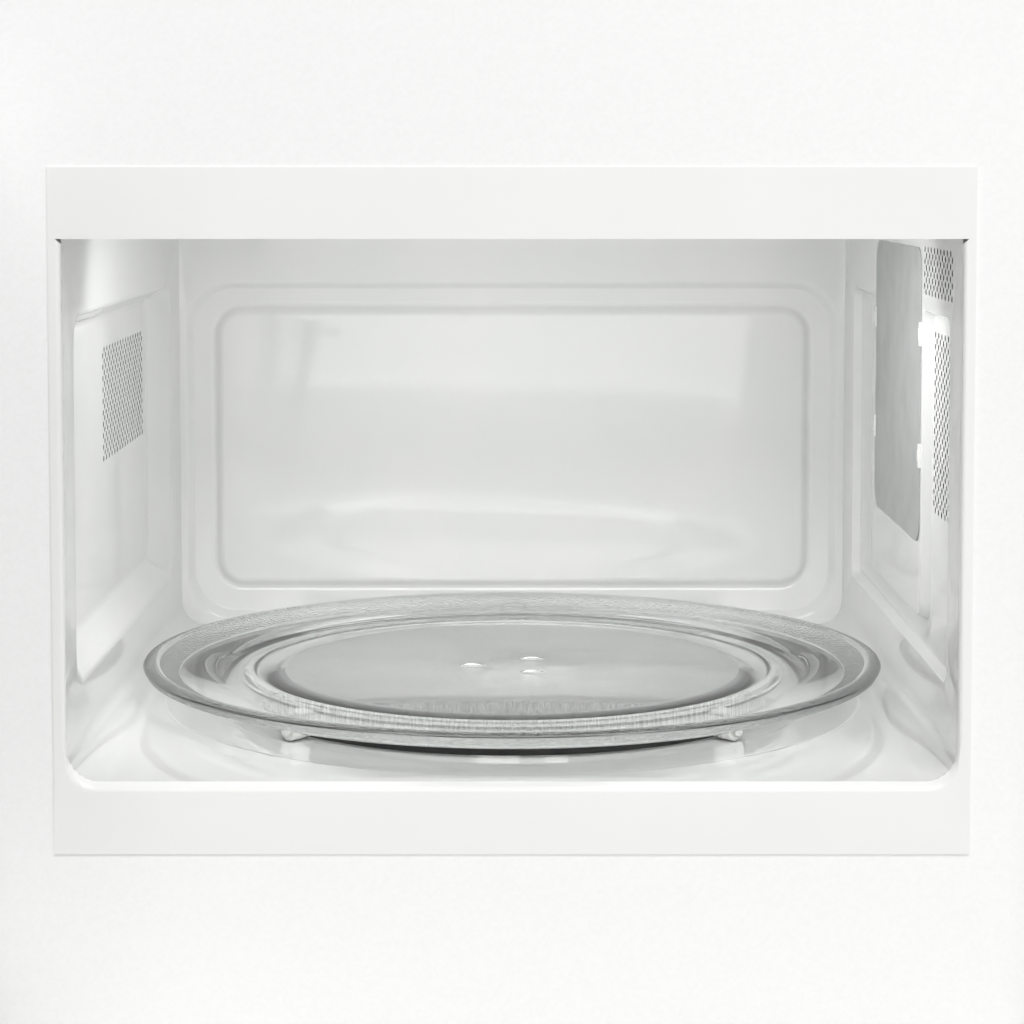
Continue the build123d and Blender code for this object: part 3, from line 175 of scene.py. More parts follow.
wall = 164.0
back = 321.0
floor = 94.0
ceiling = 298.0
liner_sheet = 0.8
lip = 2.8  # how far the front plate is rolled into the opening, up to where the liner starts
fold = 12.0  # inner radius between the floor and the side walls
centre = (0, 160.5)  # the middle of the turntable
press_low = (27, 124)  # y and z of the lower front corner of both walls' pressings
press_high = (289, 264)
left_depth = 7.0
left_bottom = (224, 120)
right_depth = 4.0
hole_pitch = 3.6
row_pitch = 4.8


def metres(place):
    """A point or a shift in millimetres, in metres."""
    return [value * mm for value in place]


def middle(low, high):
    """The point halfway between two corners in millimetres, in metres."""
    return metres((start + end) / 2 for start, end in zip(low, high))


def take_in(name, size=(1, 1, 1)):
    """Names the piece just added, sizes it, and takes its place, turn and size into its mesh."""
    piece = bpy.context.object
    piece.name = name
    piece.scale = size
    bpy.ops.object.transform_apply(location=True, rotation=True, scale=True)
    return piece


def select(piece):
    """Selects one piece alone and makes it the active one."""
    select_none()
    piece.select_set(True)
    bpy.context.view_layer.objects.active = piece


def edit(piece):
    """Opens one piece in edit mode."""
    select(piece)
    bpy.ops.object.mode_set(mode="EDIT")


def flat_sheet(name, low, high):
    """A flat rectangular sheet between two corners in millimetres, which share one coordinate."""
    select_none()
    size = [high[axis] - low[axis] for axis in range(3)]
    flat = size.index(0)
    turn = ((0, pi / 2, 0), (pi / 2, 0, 0), (0, 0, 0))[flat]
    scale = ((size[2], size[1]), (size[0], size[2]), (size[0], size[1]))[flat]
    bpy.ops.mesh.primitive_plane_add(size=1, rotation=turn, location=middle(low, high))
    return take_in(name, (scale[0] * mm, scale[1] * mm, 1))


def circle(name, steps, radius, place, fill="NGON"):
    """A flat disc at a place in millimetres, or its outline alone."""
    select_none()
    bpy.ops.mesh.primitive_circle_add(vertices=steps, radius=radius * mm, fill_type=fill,
                                      location=metres(place))
    return take_in(name)


def near(value, target):
    """Whether a length in millimetres is the same as another, to within a hundredth."""
    return abs(value - target) < 0.01


def everywhere(x, y, z):
    """Passes every point."""
    return True


def pick_all():
    """Selects all of the piece in edit mode."""
    bpy.ops.mesh.select_all(action="SELECT")


def pick(piece, kind, test=everywhere, also=None):
    """Selects the corners, edges or faces of a piece in edit mode whose points all pass a test of x, y, z.

    A second test, where given, is of the corner, edge or face itself.
    """
    bpy.ops.mesh.select_mode(type=kind)
    bpy.ops.mesh.select_all(action="DESELECT")
    mesh = bmesh.from_edit_mesh(piece.data)
    for part in {"VERT": mesh.verts, "EDGE": mesh.edges, "FACE": mesh.faces}[kind]:
        points = [part] if kind == "VERT" else part.verts
        if also is None or also(part):
            part.select_set(all(test(*[value / mm for value in point.co]) for point in points))
    mesh.select_flush_mode()
    bmesh.update_edit_mesh(piece.data)


def pick_rims(piece, test=everywhere):
    """Selects the open edges of a sheet whose points pass a test."""
    pick(piece, "EDGE", test, lambda edge: len(edge.link_faces) < 2)


def fill_rims(piece, test=everywhere):
    """Fills the sheet between the outlines whose points pass a test."""
    pick_rims(piece, test)
    bpy.ops.mesh.fill()


def remove_faces(piece, test, kind="FACE"):
    """Removes the faces whose points pass a test. With ONLY_FACE, their edges stay."""
    pick(piece, "FACE", test)
    bpy.ops.mesh.delete(type=kind)


def round_corners(piece, test, radius, steps):
    """Rounds the corners of a flat sheet."""
    pick(piece, "VERT", test)
    bpy.ops.mesh.bevel(offset=radius * mm, segments=steps, affect="VERTICES")


def soften(piece, test, width, steps, least=3.0):
    """Rounds the edges where a piece turns, by more than some degrees, and whose points pass a test."""
    pick(piece, "EDGE", test, lambda edge: edge.calc_face_angle(0) > radians(least))
    bpy.ops.mesh.bevel(offset=width * mm, segments=steps, affect="EDGES")


def inset(width, depth=0.0, **settings):
    """Draws the picked faces in by a width, and moves them along their normal by a depth."""
    bpy.ops.mesh.inset(thickness=width * mm, depth=depth * mm, **settings)


def cut(piece, test, place, normal):
    """Cuts the picked faces of a piece along a plane."""
    pick(piece, "FACE", test)
    bpy.ops.mesh.bisect(plane_co=metres(place), plane_no=normal)


def frame_only(piece):
    """Removes the face of a flat sheet and keeps its outline."""
    edit(piece)
    pick_all()
    bpy.ops.mesh.delete(type="ONLY_FACE")
    return piece


def join(pieces):
    """Makes one piece of several, with the name of the first."""
    select_none()
    for piece in pieces:
        piece.select_set(True)
    bpy.context.view_layer.objects.active = pieces[0]
    bpy.ops.object.join()
    return pieces[0]


def apply(piece, kind, **settings):
    """Adds a modifier to a piece and applies it."""
    select(piece)
    modifier = piece.modifiers.new(kind.lower(), kind)
    for key, value in settings.items():
        setattr(modifier, key, value)
    bpy.ops.object.modifier_apply(modifier=modifier.name)


def vent_field(x, front, low, columns, rows):
    """A punched field in a side wall: columns of holes, each half a row's pitch off the next."""
    fields = []
    for odd in (0, 1):
        y = front + hole_pitch * odd
        start = low + row_pitch / 2 * odd
        strip = flat_sheet("vent", (x, y, low), (x, y + hole_pitch, low + row_pitch * rows + row_pitch / 2))
        edit(strip)
        for row in range(rows + 1):
            cut(strip, everywhere, (x, y, start + row_pitch * row), (0, 0, 1))
            cut(strip, everywhere, (x, y, start + row_pitch * row + hole_pitch), (0, 0, 1))
        pick(strip, "FACE", also=lambda face: near(face.calc_area() / mm ** 2, hole_pitch ** 2))
        inset(0.55, use_individual=True)
        round_corners(strip, lambda px, py, pz: y + 0.1 < py < y + hole_pitch - 0.1, 0.75, 1)
        remove_faces(strip, lambda px, py, pz: y + 0.1 < py < y + hole_pitch - 0.1)
        apply(strip, "ARRAY", count=(columns + 1 - odd) // 2, use_relative_offset=False,
              use_constant_offset=True, constant_offset_displace=(0, 2 * hole_pitch * mm, 0))
        fields.append(strip)
    return join(fields)


def vent(piece, face, front, low, columns, rows):
    """Cuts a window in the wall that lies at one x, and returns the punched field that fills it."""
    rear = front + hole_pitch * columns
    top = low + row_pitch * rows + row_pitch / 2
    edit(piece)
    for place, normal in (((0, front, 0), (0, 1, 0)), ((0, rear, 0), (0, 1, 0)),
                          ((0, 0, low), (0, 0, 1)), ((0, 0, top), (0, 0, 1))):
        cut(piece, lambda x, y, z: near(x, face), place, normal)
    remove_faces(piece, lambda x, y, z: near(x, face) and front - 0.1 < y < rear + 0.1
                 and low - 0.1 < z < top + 0.1)
    return vent_field(face, front, low, columns, rows)


def draw_in(piece, shift, scale, old_face):
    """Draws the picked sheet out into a pressing, and removes the face that it started from."""
    pick_all()
    bpy.ops.mesh.extrude_region_move(TRANSFORM_OT_translate={"value": metres(shift)})
    mesh = bmesh.from_edit_mesh(piece.data)
    places = [vert.co for vert in mesh.verts if vert.select]
    bpy.ops.transform.resize(value=scale, center_override=sum(places, Vector()) / len(places))
    remove_faces(piece, old_face)


def merge(piece):
    """Merges the corners of a piece that lie in the same place."""
    edit(piece)
    bpy.ops.mesh.select_mode(type="VERT")
    pick_all()
    bpy.ops.mesh.remove_doubles(threshold=0.02 * mm)
    bpy.ops.object.mode_set(mode="OBJECT")


def make_thick(piece, thickness, edge_material=0):
    """Gives a sheet its thickness, behind the faces that it shows."""
    apply(piece, "SOLIDIFY", thickness=thickness * mm, offset=-1, use_even_offset=True,
          material_offset_rim=edge_material)


def coat(piece, *materials):
    """Gives a piece its materials, of which the first covers it."""
    select_none()
    for material in materials:
        piece.data.materials.append(material)


def smooth(piece, angle=35):
    """Shades a piece smooth, apart from the edges sharper than an angle in degrees."""
    select(piece)
    bpy.ops.object.shade_smooth_by_angle(angle=radians(angle))


# Left wall: the mouth of its pressing, with a long slope at the rear of it.
left = flat_sheet("oven_liner", (-wall, *press_low), (-wall, *press_high))
edit(left)
round_corners(left, everywhere, 14, 7)
draw_in(left, (-left_depth, -15, 5), (1, left_bottom[0] / (press_high[0] - press_low[0]),
                                      left_bottom[1] / (press_high[1] - press_low[1])),
        lambda x, y, z: near(x, -wall))
left = join([left, frame_only(flat_sheet("left_sheet", (-wall, lip, floor + fold), (-wall, back, ceiling)))])
edit(left)
fill_rims(left, lambda x, y, z: near(x, -wall))
soften(left, lambda x, y, z: near(x, -wall), 2.2, 4)
soften(left, lambda x, y, z: near(x, -wall - left_depth), 2.2, 4)
left_vent = vent(left, -wall - left_depth, 132.0, 196.6, 31, 10)

# Right wall: a pressing round a pad that stays up for the mica sheet.
stay_front = 88.5
stay_rear = 225.0
stay_low = 140.0
upper_front = 22.2
upper_low = 269.0
right = flat_sheet("right_wall", (wall, *press_low), (wall, *press_high))
edit(right)
for place, normal in (((0, stay_front, 0), (0, 1, 0)), ((0, stay_rear, 0), (0, 1, 0)),
                      ((0, 0, stay_low), (0, 0, 1))):
    cut(right, everywhere, place, normal)
remove_faces(right, lambda x, y, z: stay_front - 0.1 < y < stay_rear + 0.1 and z > stay_low - 0.1)
pick_all()
bpy.ops.mesh.dissolve_limited(angle_limit=radians(1))
round_corners(right, everywhere, 7, 5)
pick_all()
for slope, depth in ((0.5, 0.08), (0.35, 0.35), (1.3, 3.14), (0.35, 0.35), (0.5, 0.08)):
    inset(slope, depth)
right = join([right, frame_only(flat_sheet("right_sheet", (wall, lip, floor + fold), (wall, back, ceiling))),
              frame_only(flat_sheet("upper_vent", (wall, upper_front, upper_low), (
                  wall, upper_front + 18 * hole_pitch, upper_low + 4 * row_pitch + row_pitch / 2)))])
edit(right)
fill_rims(right, lambda x, y, z: near(x, wall))
upper_vent = vent_field(wall, upper_front, upper_low, 18, 4)
lower_vent = vent(right, wall + right_depth, 40.5, 182.4, 12, 15)
right = join([right, upper_vent, lower_vent])
edit(right)
pick_all()
bpy.ops.mesh.flip_normals()

# Floor: one round pressing down to the roller track, and a hole for the drive shaft.
bottom = circle("round_pressing", 96, 149, (*centre, floor))
edit(bottom)
pick_all()
for slope, depth in ((1.2, -0.4), (19.3, 0), (1.2, -0.8), (121.3, 0)):
    inset(slope, depth)
bpy.ops.mesh.delete(type="FACE")
bottom = join([bottom, frame_only(flat_sheet("floor_sheet", (-wall + fold, lip, floor),
                                             (wall - fold, back, floor)))])
edit(bottom)
fill_rims(bottom, lambda x, y, z: near(z, floor))
soften(bottom, everywhere, 0.5, 2)

liner = join([left, right, bottom, left_vent])
edit(liner)
for side in (-1, 1):
    pick(liner, "EDGE", lambda x, y, z: near(x, side * wall) and near(z, floor + fold))
    bpy.ops.mesh.spin(steps=6, angle=-side * pi / 2, axis=(0, 1, 0),
                      center=metres((side * (wall - fold), 0, floor + fold)))
merge(liner)

# The enamel is a glass fused to the steel at red heat: a hard, bright gloss with a very slight waviness and a
# faint cool tint. It is a darker copy of the front plate's enamel, as painted shade inside the oven.
enamel = grained_material("vitreous_enamel", {"Scale": 18.0, "Detail": 2.0}, ("E9EAE9", "EDEDEC"),
                          (0.03, 0.002), (0.04, 0.07))
# The cut edges of the sheet and of the punched holes are painted grey, as painted shade inside the holes.
hole_edge_shade = grained_material("painted_hole_edge_shade", {"Scale": 300.0, "Detail": 2.0},
                               ("7A7C7C", "8A8C8C"), finish={"Roughness": 0.5})
coat(liner, enamel, hole_edge_shade)
# The sheet's cut edges, and so the walls of the holes, take the grey painted shade.
make_thick(liner, liner_sheet, 1)
smooth(liner)
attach(liner, "housing")
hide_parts("cavity_wrap")

# Oven back wall
# A pressed and enamelled sheet spot-welded to the liner: a wide shallow pressing with round corners, and a
# raised pad in the middle of it.

back_depth = 3.5
mouth_half = 160.5
mouth_low = 97.5
mouth_high = 264.0
mouth_bottom = (315.0, 160.5)
pad_half = 148.9


def turn_faces_out():
    """Turns the faces of the piece in edit mode so that they all look outwards."""
    pick_all()
    bpy.ops.mesh.normals_make_consistent(inside=False)


def face_towards(piece, place):
    """Turns the faces of a sheet so that they look at a point in millimetres."""
    edit(piece)
    turn_faces_out()
    mesh = bmesh.from_edit_mesh(piece.data)
    target = Vector(place) * mm
    score = sum(face.calc_area() * face.normal.dot((target - face.calc_center_median()).normalized())
                for face in mesh.faces)
    if score < 0:
        bpy.ops.mesh.flip_normals()
    bpy.ops.object.mode_set(mode="OBJECT")


mouth = flat_sheet("oven_back", (-mouth_half, back, mouth_low), (mouth_half, back, mouth_high))
edit(mouth)
round_corners(mouth, everywhere, 21, 10)
draw_in(mouth, (0, back_depth, 0), (mouth_bottom[0] / (2 * mouth_half), 1,
                                    mouth_bottom[1] / (mouth_high - mouth_low)),
        lambda x, y, z: near(y, back))
pad = flat_sheet("pad", (-pad_half, back + back_depth, 110.6), (pad_half, back + back_depth, 254.4))
edit(pad)
round_corners(pad, everywhere, 16, 8)
pick_all()
for slope, depth in ((0.9, -0.35), (1.5, 0.35), (3.0, 2.5)):
    inset(slope, depth)
edit(mouth)
remove_faces(mouth, lambda x, y, z: near(y, back + back_depth), "ONLY_FACE")
back_wall = join([mouth, pad, frame_only(flat_sheet(
    "back_sheet", (-wall - liner_sheet, back, floor - liner_sheet),
    (wall + liner_sheet, back, ceiling + liner_sheet)))])
edit(back_wall)
for depth in (0, back_depth):
    fill_rims(back_wall, lambda x, y, z: near(y, back + depth))
for depth, width in ((0, 1.5), (back_depth, 0.5), (back_depth + 0.35, 0.4), (1.0, 1.5)):
    soften(back_wall, lambda x, y, z: near(y, back + depth), width, 4)
merge(back_wall)
face_towards(back_wall, (0, 0, 200))
make_thick(back_wall, liner_sheet)
coat(back_wall, enamel)
smooth(back_wall)
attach(back_wall, "housing")
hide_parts("cavity_back")

# Front plate
# Flat sheet round the opening, in the same white enamel as the oven but painted lighter, as painted light on
# the front.
# The edge of the opening is rolled in, and a small relief notch at each top corner lets it roll without
# tearing.

opening_low = 92.0
opening_top = 294.0


def draw_out(shift):
    """Draws the selected edges out by a shift in millimetres, with a sheet behind them."""
    bpy.ops.mesh.extrude_edges_move(TRANSFORM_OT_translate={"value": metres(shift)})


def move(shift):
    """Moves what is selected by a shift in millimetres."""
    bpy.ops.transform.translate(value=metres(shift))


outline = flat_sheet("opening_plate", (-wall, 0, opening_low), (wall, 0, opening_top))
edit(outline)
round_corners(outline, lambda x, y, z: z < opening_low + 1, 12, 7)
round_corners(outline, lambda x, y, z: z > opening_top - 1, 1.8, 1)
for side in (-1, 1):
    pick(outline, "VERT", lambda x, y, z: z > opening_top - 0.1 and side * x > 150)
    move((side * 3.6, 0, 0))
frame_only(outline)
plate = join([outline, frame_only(flat_sheet("plate_edge", (-168.5, 0, 67.5), (168.5, 0, 320)))])
edit(plate)
pick_all()
bpy.ops.mesh.fill()
pick_rims(plate, lambda x, y, z: abs(x) < 166 and opening_low - 1 < z < opening_top + 0.1)
draw_out((0, lip, 0))
pick(plate, "VERT", lambda x, y, z: near(y, lip) and z < opening_low + 12.1)
move((0, 0, 2))
soften(plate, lambda x, y, z: near(y, 0) and z < opening_top - 1.7, 1.6, 4)
soften(plate, lambda x, y, z: near(y, 0) and z > opening_top - 0.1 and abs(x) < 165, 0.6, 3)
merge(plate)
face_towards(plate, (0, -600, 200))
make_thick(plate, 0.8)
# A lighter copy of the oven's enamel: painted light on the front plate, against the darker copy inside the
# oven.
front_enamel_painted_lighter = grained_material("vitreous_enamel_front_painted_lighter", {"Scale": 14.0, "Detail": 2.0}, ("F0F0EF", "F2F2F1"),
                                (0.03, 0.002), finish={"Roughness": 0.3})
coat(plate, front_enamel_painted_lighter)
smooth(plate)
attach(plate, "housing")
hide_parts("cavity_front_plate")

# Waveguide cover
# A sheet of pressed mica flakes that lets the microwaves in and keeps grease out: matt, silvery grey and
# faintly flaky, with a pale cut edge.

mica_front = 91.0
mica_rear = 212.0
cover = flat_sheet("mica_sheet", (wall - 0.5, mica_front, 169), (wall - 0.5, mica_rear, 288))
edit(cover)
round_corners(cover, everywhere, 9, 8)
face_towards(cover, (0, 150, 200))
make_thick(cover, 0.49)
mica = new_material("pressed_mica")
flakes = add_node(mica, "TexVoronoi", {"Scale": 700.0})
clouds = add_node(mica, "TexNoise", {"Scale": 60.0, "Detail": 4.0})
mixed = add_node(mica, "Math", {1: 0.35}, {0: (flakes, "Distance"), 2: (clouds, "Fac")},
                 {"operation": "MULTIPLY_ADD"})
tone = add_node(mica, "ValToRGB", {}, {"Fac": (mixed, "Value")}, stops=((0.3, "A6A8A7"), (0.8, "B8BAB9")))
sheen = add_node(mica, "MapRange", {"To Min": 0.4, "To Max": 0.6}, {"Value": (flakes, "Distance")})
bumps = add_node(mica, "Bump", {"Strength": 0.15, "Distance": 0.0004}, {"Height": (mixed, "Value")})
add_node(mica, "BsdfPrincipled", {}, {
    "Base Color": (tone, "Color"), "Roughness": (sheen, "Result"), "Normal": (bumps, "Normal")})
coat(cover, mica)
smooth(cover)
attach(cover, "housing")
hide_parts("waveguide_cover")

# Glass tray
# Pressed soda-lime glass. The rim's inner slope and both bands of its outer side are stippled, the rings
# between are clear, and the disc in the middle is frosted underneath. Three lugs underneath meet the drive,
# and a small raised ring marks the rear.

frosted_height = 102.4
tray_top = 106.4
lug_depth = 4.9


def turned(name, steps, profile):
    """A turned form: a disc at the first radius and height, drawn out ring by ring, and closed by a disc."""
    radius, height = profile[0]
    piece = circle(name, steps, radius, (*centre, height))
    edit(piece)
    pick_rims(piece)
    for next_radius, next_height in profile[1:]:
        draw_out((0, 0, next_height - height))
        scale = next_radius / radius
        bpy.ops.transform.resize(value=(scale, scale, 1), center_override=metres((*centre, next_height)))
        radius, height = next_radius, next_height
    bpy.ops.mesh.edge_face_add()
    turn_faces_out()
    return piece


def from_centre(x, y):
    """How far a point lies from the axis of the turntable."""
    return hypot(x - centre[0], y - centre[1])


def round_place(angle, radius, height):
    """A point at an angle round the middle of the tray."""
    return (radius * cos(radians(angle)), centre[1] + radius * sin(radians(angle)), height)


tray = turned("tray", 160, [
    (98, frosted_height), (98.6, 102.8), (109, 102.8), (109.8, 102.5), (114, 102.5), (115.5, 103.4),
    (126, 103.4), (127.5, 102.5), (143, 102.5), (154.6, tray_top), (156.2, 107.3), (157.4, 109.4),
    (157.6, 110.0), (157.0, 110.6), (153.6, 111.3), (152.6, 111.4), (151.7, 111.2), (150.6, 110.7),
    (142.4, 106.8), (141.0, tray_top), (111.0, tray_top), (110.3, 106.1), (109.4, 106.1), (108.6, tray_top),
    (98.8, tray_top), (98.0, 106.2)])
for radius, width in ((143, 0.6), (154.6, 0.4), (142.4, 0.6)):
    soften(tray, lambda x, y, z: near(from_centre(x, y), radius), width, 2)
remove_faces(tray, lambda x, y, z: near(z, frosted_height), "ONLY_FACE")
lug_rims = [circle("lug", 32, 5.4, round_place(angle, 17, frosted_height), "NOTHING")
            for angle in (60, 180, 300)]
tray = join([tray] + lug_rims)
edit(tray)
fill_rims(tray)
pick_rims(tray)
draw_out((0, 0, -lug_depth))
bpy.ops.mesh.fill()
pick(tray, "FACE", lambda x, y, z: near(z, frosted_height - lug_depth))
bpy.ops.mesh.dissolve_limited(angle_limit=radians(1))
soften(tray, lambda x, y, z: near(z, frosted_height - lug_depth), 1.2, 3, 60)
turn_faces_out()
select_none()
bpy.ops.mesh.primitive_torus_add(location=metres((0.5, 297, 106.6)), rotation=(radians(12), 0, 0),
                                 major_radius=5.6 * mm, minor_radius=0.5 * mm,
                                 major_segments=48, minor_segments=12)
tray = join([tray, take_in("ring_mark")])


def pressed_glass(name, colour, roughness, shadow, kind, pattern, height, strength, depth, settings=None):
    """Clear glass with a pattern pressed into it, and the share of light that it holds back in its shadow."""
    material = new_material(name)
    path = add_node(material, "LightPath")
    lit = add_node(material, "MapRange", {"To Min": 1.0, "To Max": shadow},
                   {"Value": (path, "Is Shadow Ray")})
    texture = add_node(material, kind, pattern, settings=settings)
    relief = add_node(material, "Bump", {"Strength": strength, "Distance": depth},
                      {"Height": (texture, height)})
    add_node(material, "BsdfPrincipled", {
        "Base Color": linear(colour), "Transmission Weight": 1.0, "IOR": 1.52, "Roughness": roughness},
        {"Normal": (relief, "Normal"), "Alpha": (lit, "Result")})
    return material


# Clear glass with the slight waves of a pressing.
glass = pressed_glass("soda_lime_glass_clear", "F7F9F8", 0.01, 0.6,
                      "TexNoise", {"Scale": 40.0, "Detail": 1.0}, "Fac", 0.05, 0.001)
# The stipple is a field of small bumps about 0.8 mm apart, which scatters the light into a pale grain.
stipple = pressed_glass("soda_lime_glass_stippled", "F4F6F5", 0.15, 0.65,
                        "TexVoronoi", {"Scale": 1250.0}, "Distance", 1.0, 0.0004, {"feature": "SMOOTH_F1"})
# The frosting is a fine, even roughness that dims what lies behind it.
frost = pressed_glass("soda_lime_glass_frosted", "ECEEED", 0.35, 0.15,
                      "TexNoise", {"Scale": 1200.0, "Detail": 2.0}, "Fac", 0.4, 0.0003)
coat(tray, glass, stipple, frost)


def paint(piece, index, test):
    """Gives one of a piece's materials to the faces whose points all pass a test of radius and height."""
    edit(piece)
    pick(piece, "FACE", lambda x, y, z: test(from_centre(x, y), z))
    piece.active_material_index = index
    bpy.ops.object.material_slot_assign()
    bpy.ops.object.mode_set(mode="OBJECT")


paint(tray, 1, lambda r, z: 142 < r < 151 and z > 106.5)
paint(tray, 1, lambda r, z: r > 153.4 and z > 110.4)
paint(tray, 1, lambda r, z: r > 154.2 and 106.3 < z < 110.1)
paint(tray, 2, lambda r, z: near(z, frosted_height))
smooth(tray)
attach(tray, "turntable")
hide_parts("glass_tray")

# Mica clips
# White clips, moulded in polypropylene, that snap into the wall and hold the mica by its edges. Each has a
# raised middle, and the two at the rear stand lower.

snap_plastic = grained_material("moulded_polypropylene", {"Scale": 900.0, "Detail": 2.0},
                                ("F0F0EE", "F4F4F2"), (0.1, 0.0002), finish={"Roughness": 0.4})


def block(name, low, high):
    """A rectangular block between two corners in millimetres."""
    select_none()
    bpy.ops.mesh.primitive_cube_add(size=1, location=middle(low, high))
    return take_in(name, [(high[axis] - low[axis]) * mm for axis in range(3)])


clips = []
for y, low_x in ((mica_front, wall - 1.2), (mica_rear, wall - 0.8)):
    for z in (253.5, 204.5):
        clip = block("mica_clip", (low_x, y - 1.4, z - 4.8), (wall - 0.01, y + 0.8, z + 4.8))
        edit(clip)
        cut(clip, everywhere, (0, 0, z - 2.5), (0, 0, 1))
        cut(clip, everywhere, (0, 0, z + 2.5), (0, 0, 1))
        pick(clip, "FACE", lambda px, py, pz: near(px, low_x) and abs(pz - z) < 2.6)
        inset(0.4)
        move((-0.3, 0, 0))
        soften(clip, lambda px, py, pz: px < wall - 0.7, 0.25, 2, 20)
        clips.append(clip)
clips = join(clips)
clips.name = "mica_tabs"
coat(clips, snap_plastic)
smooth(clips)
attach(clips, "housing")
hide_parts("mica_clips")

# Roller ring
# A moulded ring of white acetal that the glass tray rolls on, with a thin web, a rounded rib on each side and
# four short bosses that hold the axles of the rollers. Its outer wall is painted black, as painted shade
# under the tray.

axle_height = 97.6
acetal = grained_material("moulded_acetal", {"Scale": 500.0, "Detail": 2.0}, ("E4E4E1", "EBEBE8"),
                          (0.08, 0.0003), finish={"Roughness": 0.35})
# Black rubber for the feet and the cable bush. The same black also paints the shade on the ring's outer wall.
black_rubber_and_shade = grained_material("moulded_rubber_and_painted_shade", {"Scale": 120.0, "Detail": 4.0}, ("181818", "2A2A29"),
                          (0.2, 0.0003), finish={"Roughness": 0.8}, places=(0.3, 0.8))


def pick_discs(piece):
    """Selects the faces of a turned form that are whole discs."""
    pick(piece, "FACE", also=lambda face: len(face.verts) > 8)


def bore_through(piece):
    """Joins the two open rims of a piece by a wall, as a bore does."""
    pick_rims(piece)
    bpy.ops.mesh.bridge_edge_loops()
    turn_faces_out()


def rod(name, steps, radius, start, end, soft):
    """A round bar between two points in millimetres, with softened ends."""
    select_none()
    along = Vector(end) - Vector(start)
    bpy.ops.mesh.primitive_cylinder_add(vertices=steps, radius=radius * mm, depth=along.length * mm,
                                        location=(Vector(start) + along / 2) * mm,
                                        rotation=along.to_track_quat("Z", "Y").to_euler())
    piece = take_in(name)
    edit(piece)
    soften(piece, everywhere, soft, 3, 60)
    return piece


def put(piece, place, turn=(0, 0, 0)):
    """Turns a piece, moves it by millimetres, and takes both into its mesh."""
    select(piece)
    piece.rotation_euler = turn
    piece.location = metres(place)
    bpy.ops.object.transform_apply(location=True, rotation=True, scale=True)


def spoke(name, low, high, angle, soft):
    """A softened block, made at the tray's height to the right of its middle and turned to an angle."""
    piece = block(name, low, high)
    edit(piece)
    soften(piece, everywhere, soft, 3, 20)
    put(piece, (*centre, 0), (0, 0, radians(angle)))
    return piece


ring_body = turned("ring_web", 96, [
    (108.5, 94.6), (108.9, 94.0), (111.0, 93.8), (111.6, 95.4), (113.9, 95.4), (114.5, 93.8), (116.6, 93.8),
    (117.0, 94.2), (117.0, 100.0), (116.6, 100.7), (116.0, 100.8), (109.5, 100.8), (108.9, 100.7),
    (108.5, 100.0)])
pick_discs(ring_body)
bpy.ops.mesh.delete(type="ONLY_FACE")
bore_through(ring_body)
ring_parts = [ring_body]
for angle in (45, 135, 225, 315):
    ring_parts += [
        spoke("boss", (109.5, -3.5, 94.2), (117.7, 3.5, 100.8), angle, 0.5),
        rod("axle", 16, 1.5, round_place(angle, 112, axle_height),
            round_place(angle, 126.4, axle_height), 0.2),
        rod("head", 16, 2.3, round_place(angle, 126.3, axle_height),
            round_place(angle, 127.3, axle_height), 0.3)]
ring = join(ring_parts)
ring.name = "tray_ring"
coat(ring, acetal, black_rubber_and_shade)
# The ring's outer wall is painted black, as painted shade of the dark gap under the tray.
paint(ring, 1, lambda r, z: 116.5 < r < 117.1)
smooth(ring)
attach(ring, "ring")
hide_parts("roller_ring")

# Rollers
# Four plain wheels moulded in the same acetal, with rounded edges and a bored hub. They turn on the ring's
# axles, run on the floor and carry the tray.

for index, (angle, body) in enumerate((
        (45, "roller_a"), (135, "roller_b"), (225, "roller_c"), (315, "roller_d"))):
    wheel = rod("wheel_%d" % (index + 1), 40, 4.5, round_place(angle, 118, axle_height),
                round_place(angle, 126, axle_height), 0.9)
    edit(wheel)
    pick_discs(wheel)
    inset(0.8, -0.5)
    inset(1.2)
    bpy.ops.mesh.delete(type="FACE")
    bore_through(wheel)
    coat(wheel, acetal)
    smooth(wheel)
    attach(wheel, body)
    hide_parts("roller_%d" % (index + 1))

# Coupler
# Moulded in acetal, with three arms that fit between the lugs of the tray. Its hub sits loosely on the
# motor's shaft.

hub = turned("hub", 48, [(8.0, 94.5), (8.8, 94.9), (9.0, 95.4), (9.0, 101.2), (8.6, 101.8), (7.8, 102.0)])
coupler = join([hub] + [spoke("arm", (2, -3.5, 94.5), (24, 3.5, 101.8), angle, 0.9)
                        for angle in (0, 120, 240)])
coupler.name = "coupler"
coat(coupler, acetal)
smooth(coupler)
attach(coupler, "turntable")
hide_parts("turntable_coupler")

# Front frame and ceiling
# The frame is sheet steel with a white powder coat, which is matt and faintly pebbled. The ceiling has the
# same enamel as the rest of the oven.

powder = grained_material("powder_coat", {"Scale": 700.0, "Detail": 2.0}, ("F6F6F6", "F9F9F9"),
                          (0.06, 0.0003), finish={"Roughness": 0.6, "Specular IOR Level": 0.2})


def give(material, *nodes):
    """Gives a material to pieces that keep the shape they came with."""
    for name in nodes:
        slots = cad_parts[name].data.materials
        slots.clear()
        slots.append(material)


give(powder, "front_frame")
give(enamel, "cavity_ceiling")

# Case, base and rear panel
# Folded from sheet steel and spot-welded. The hot zinc coat is bright, and its crystals show as a faint
# spangle.

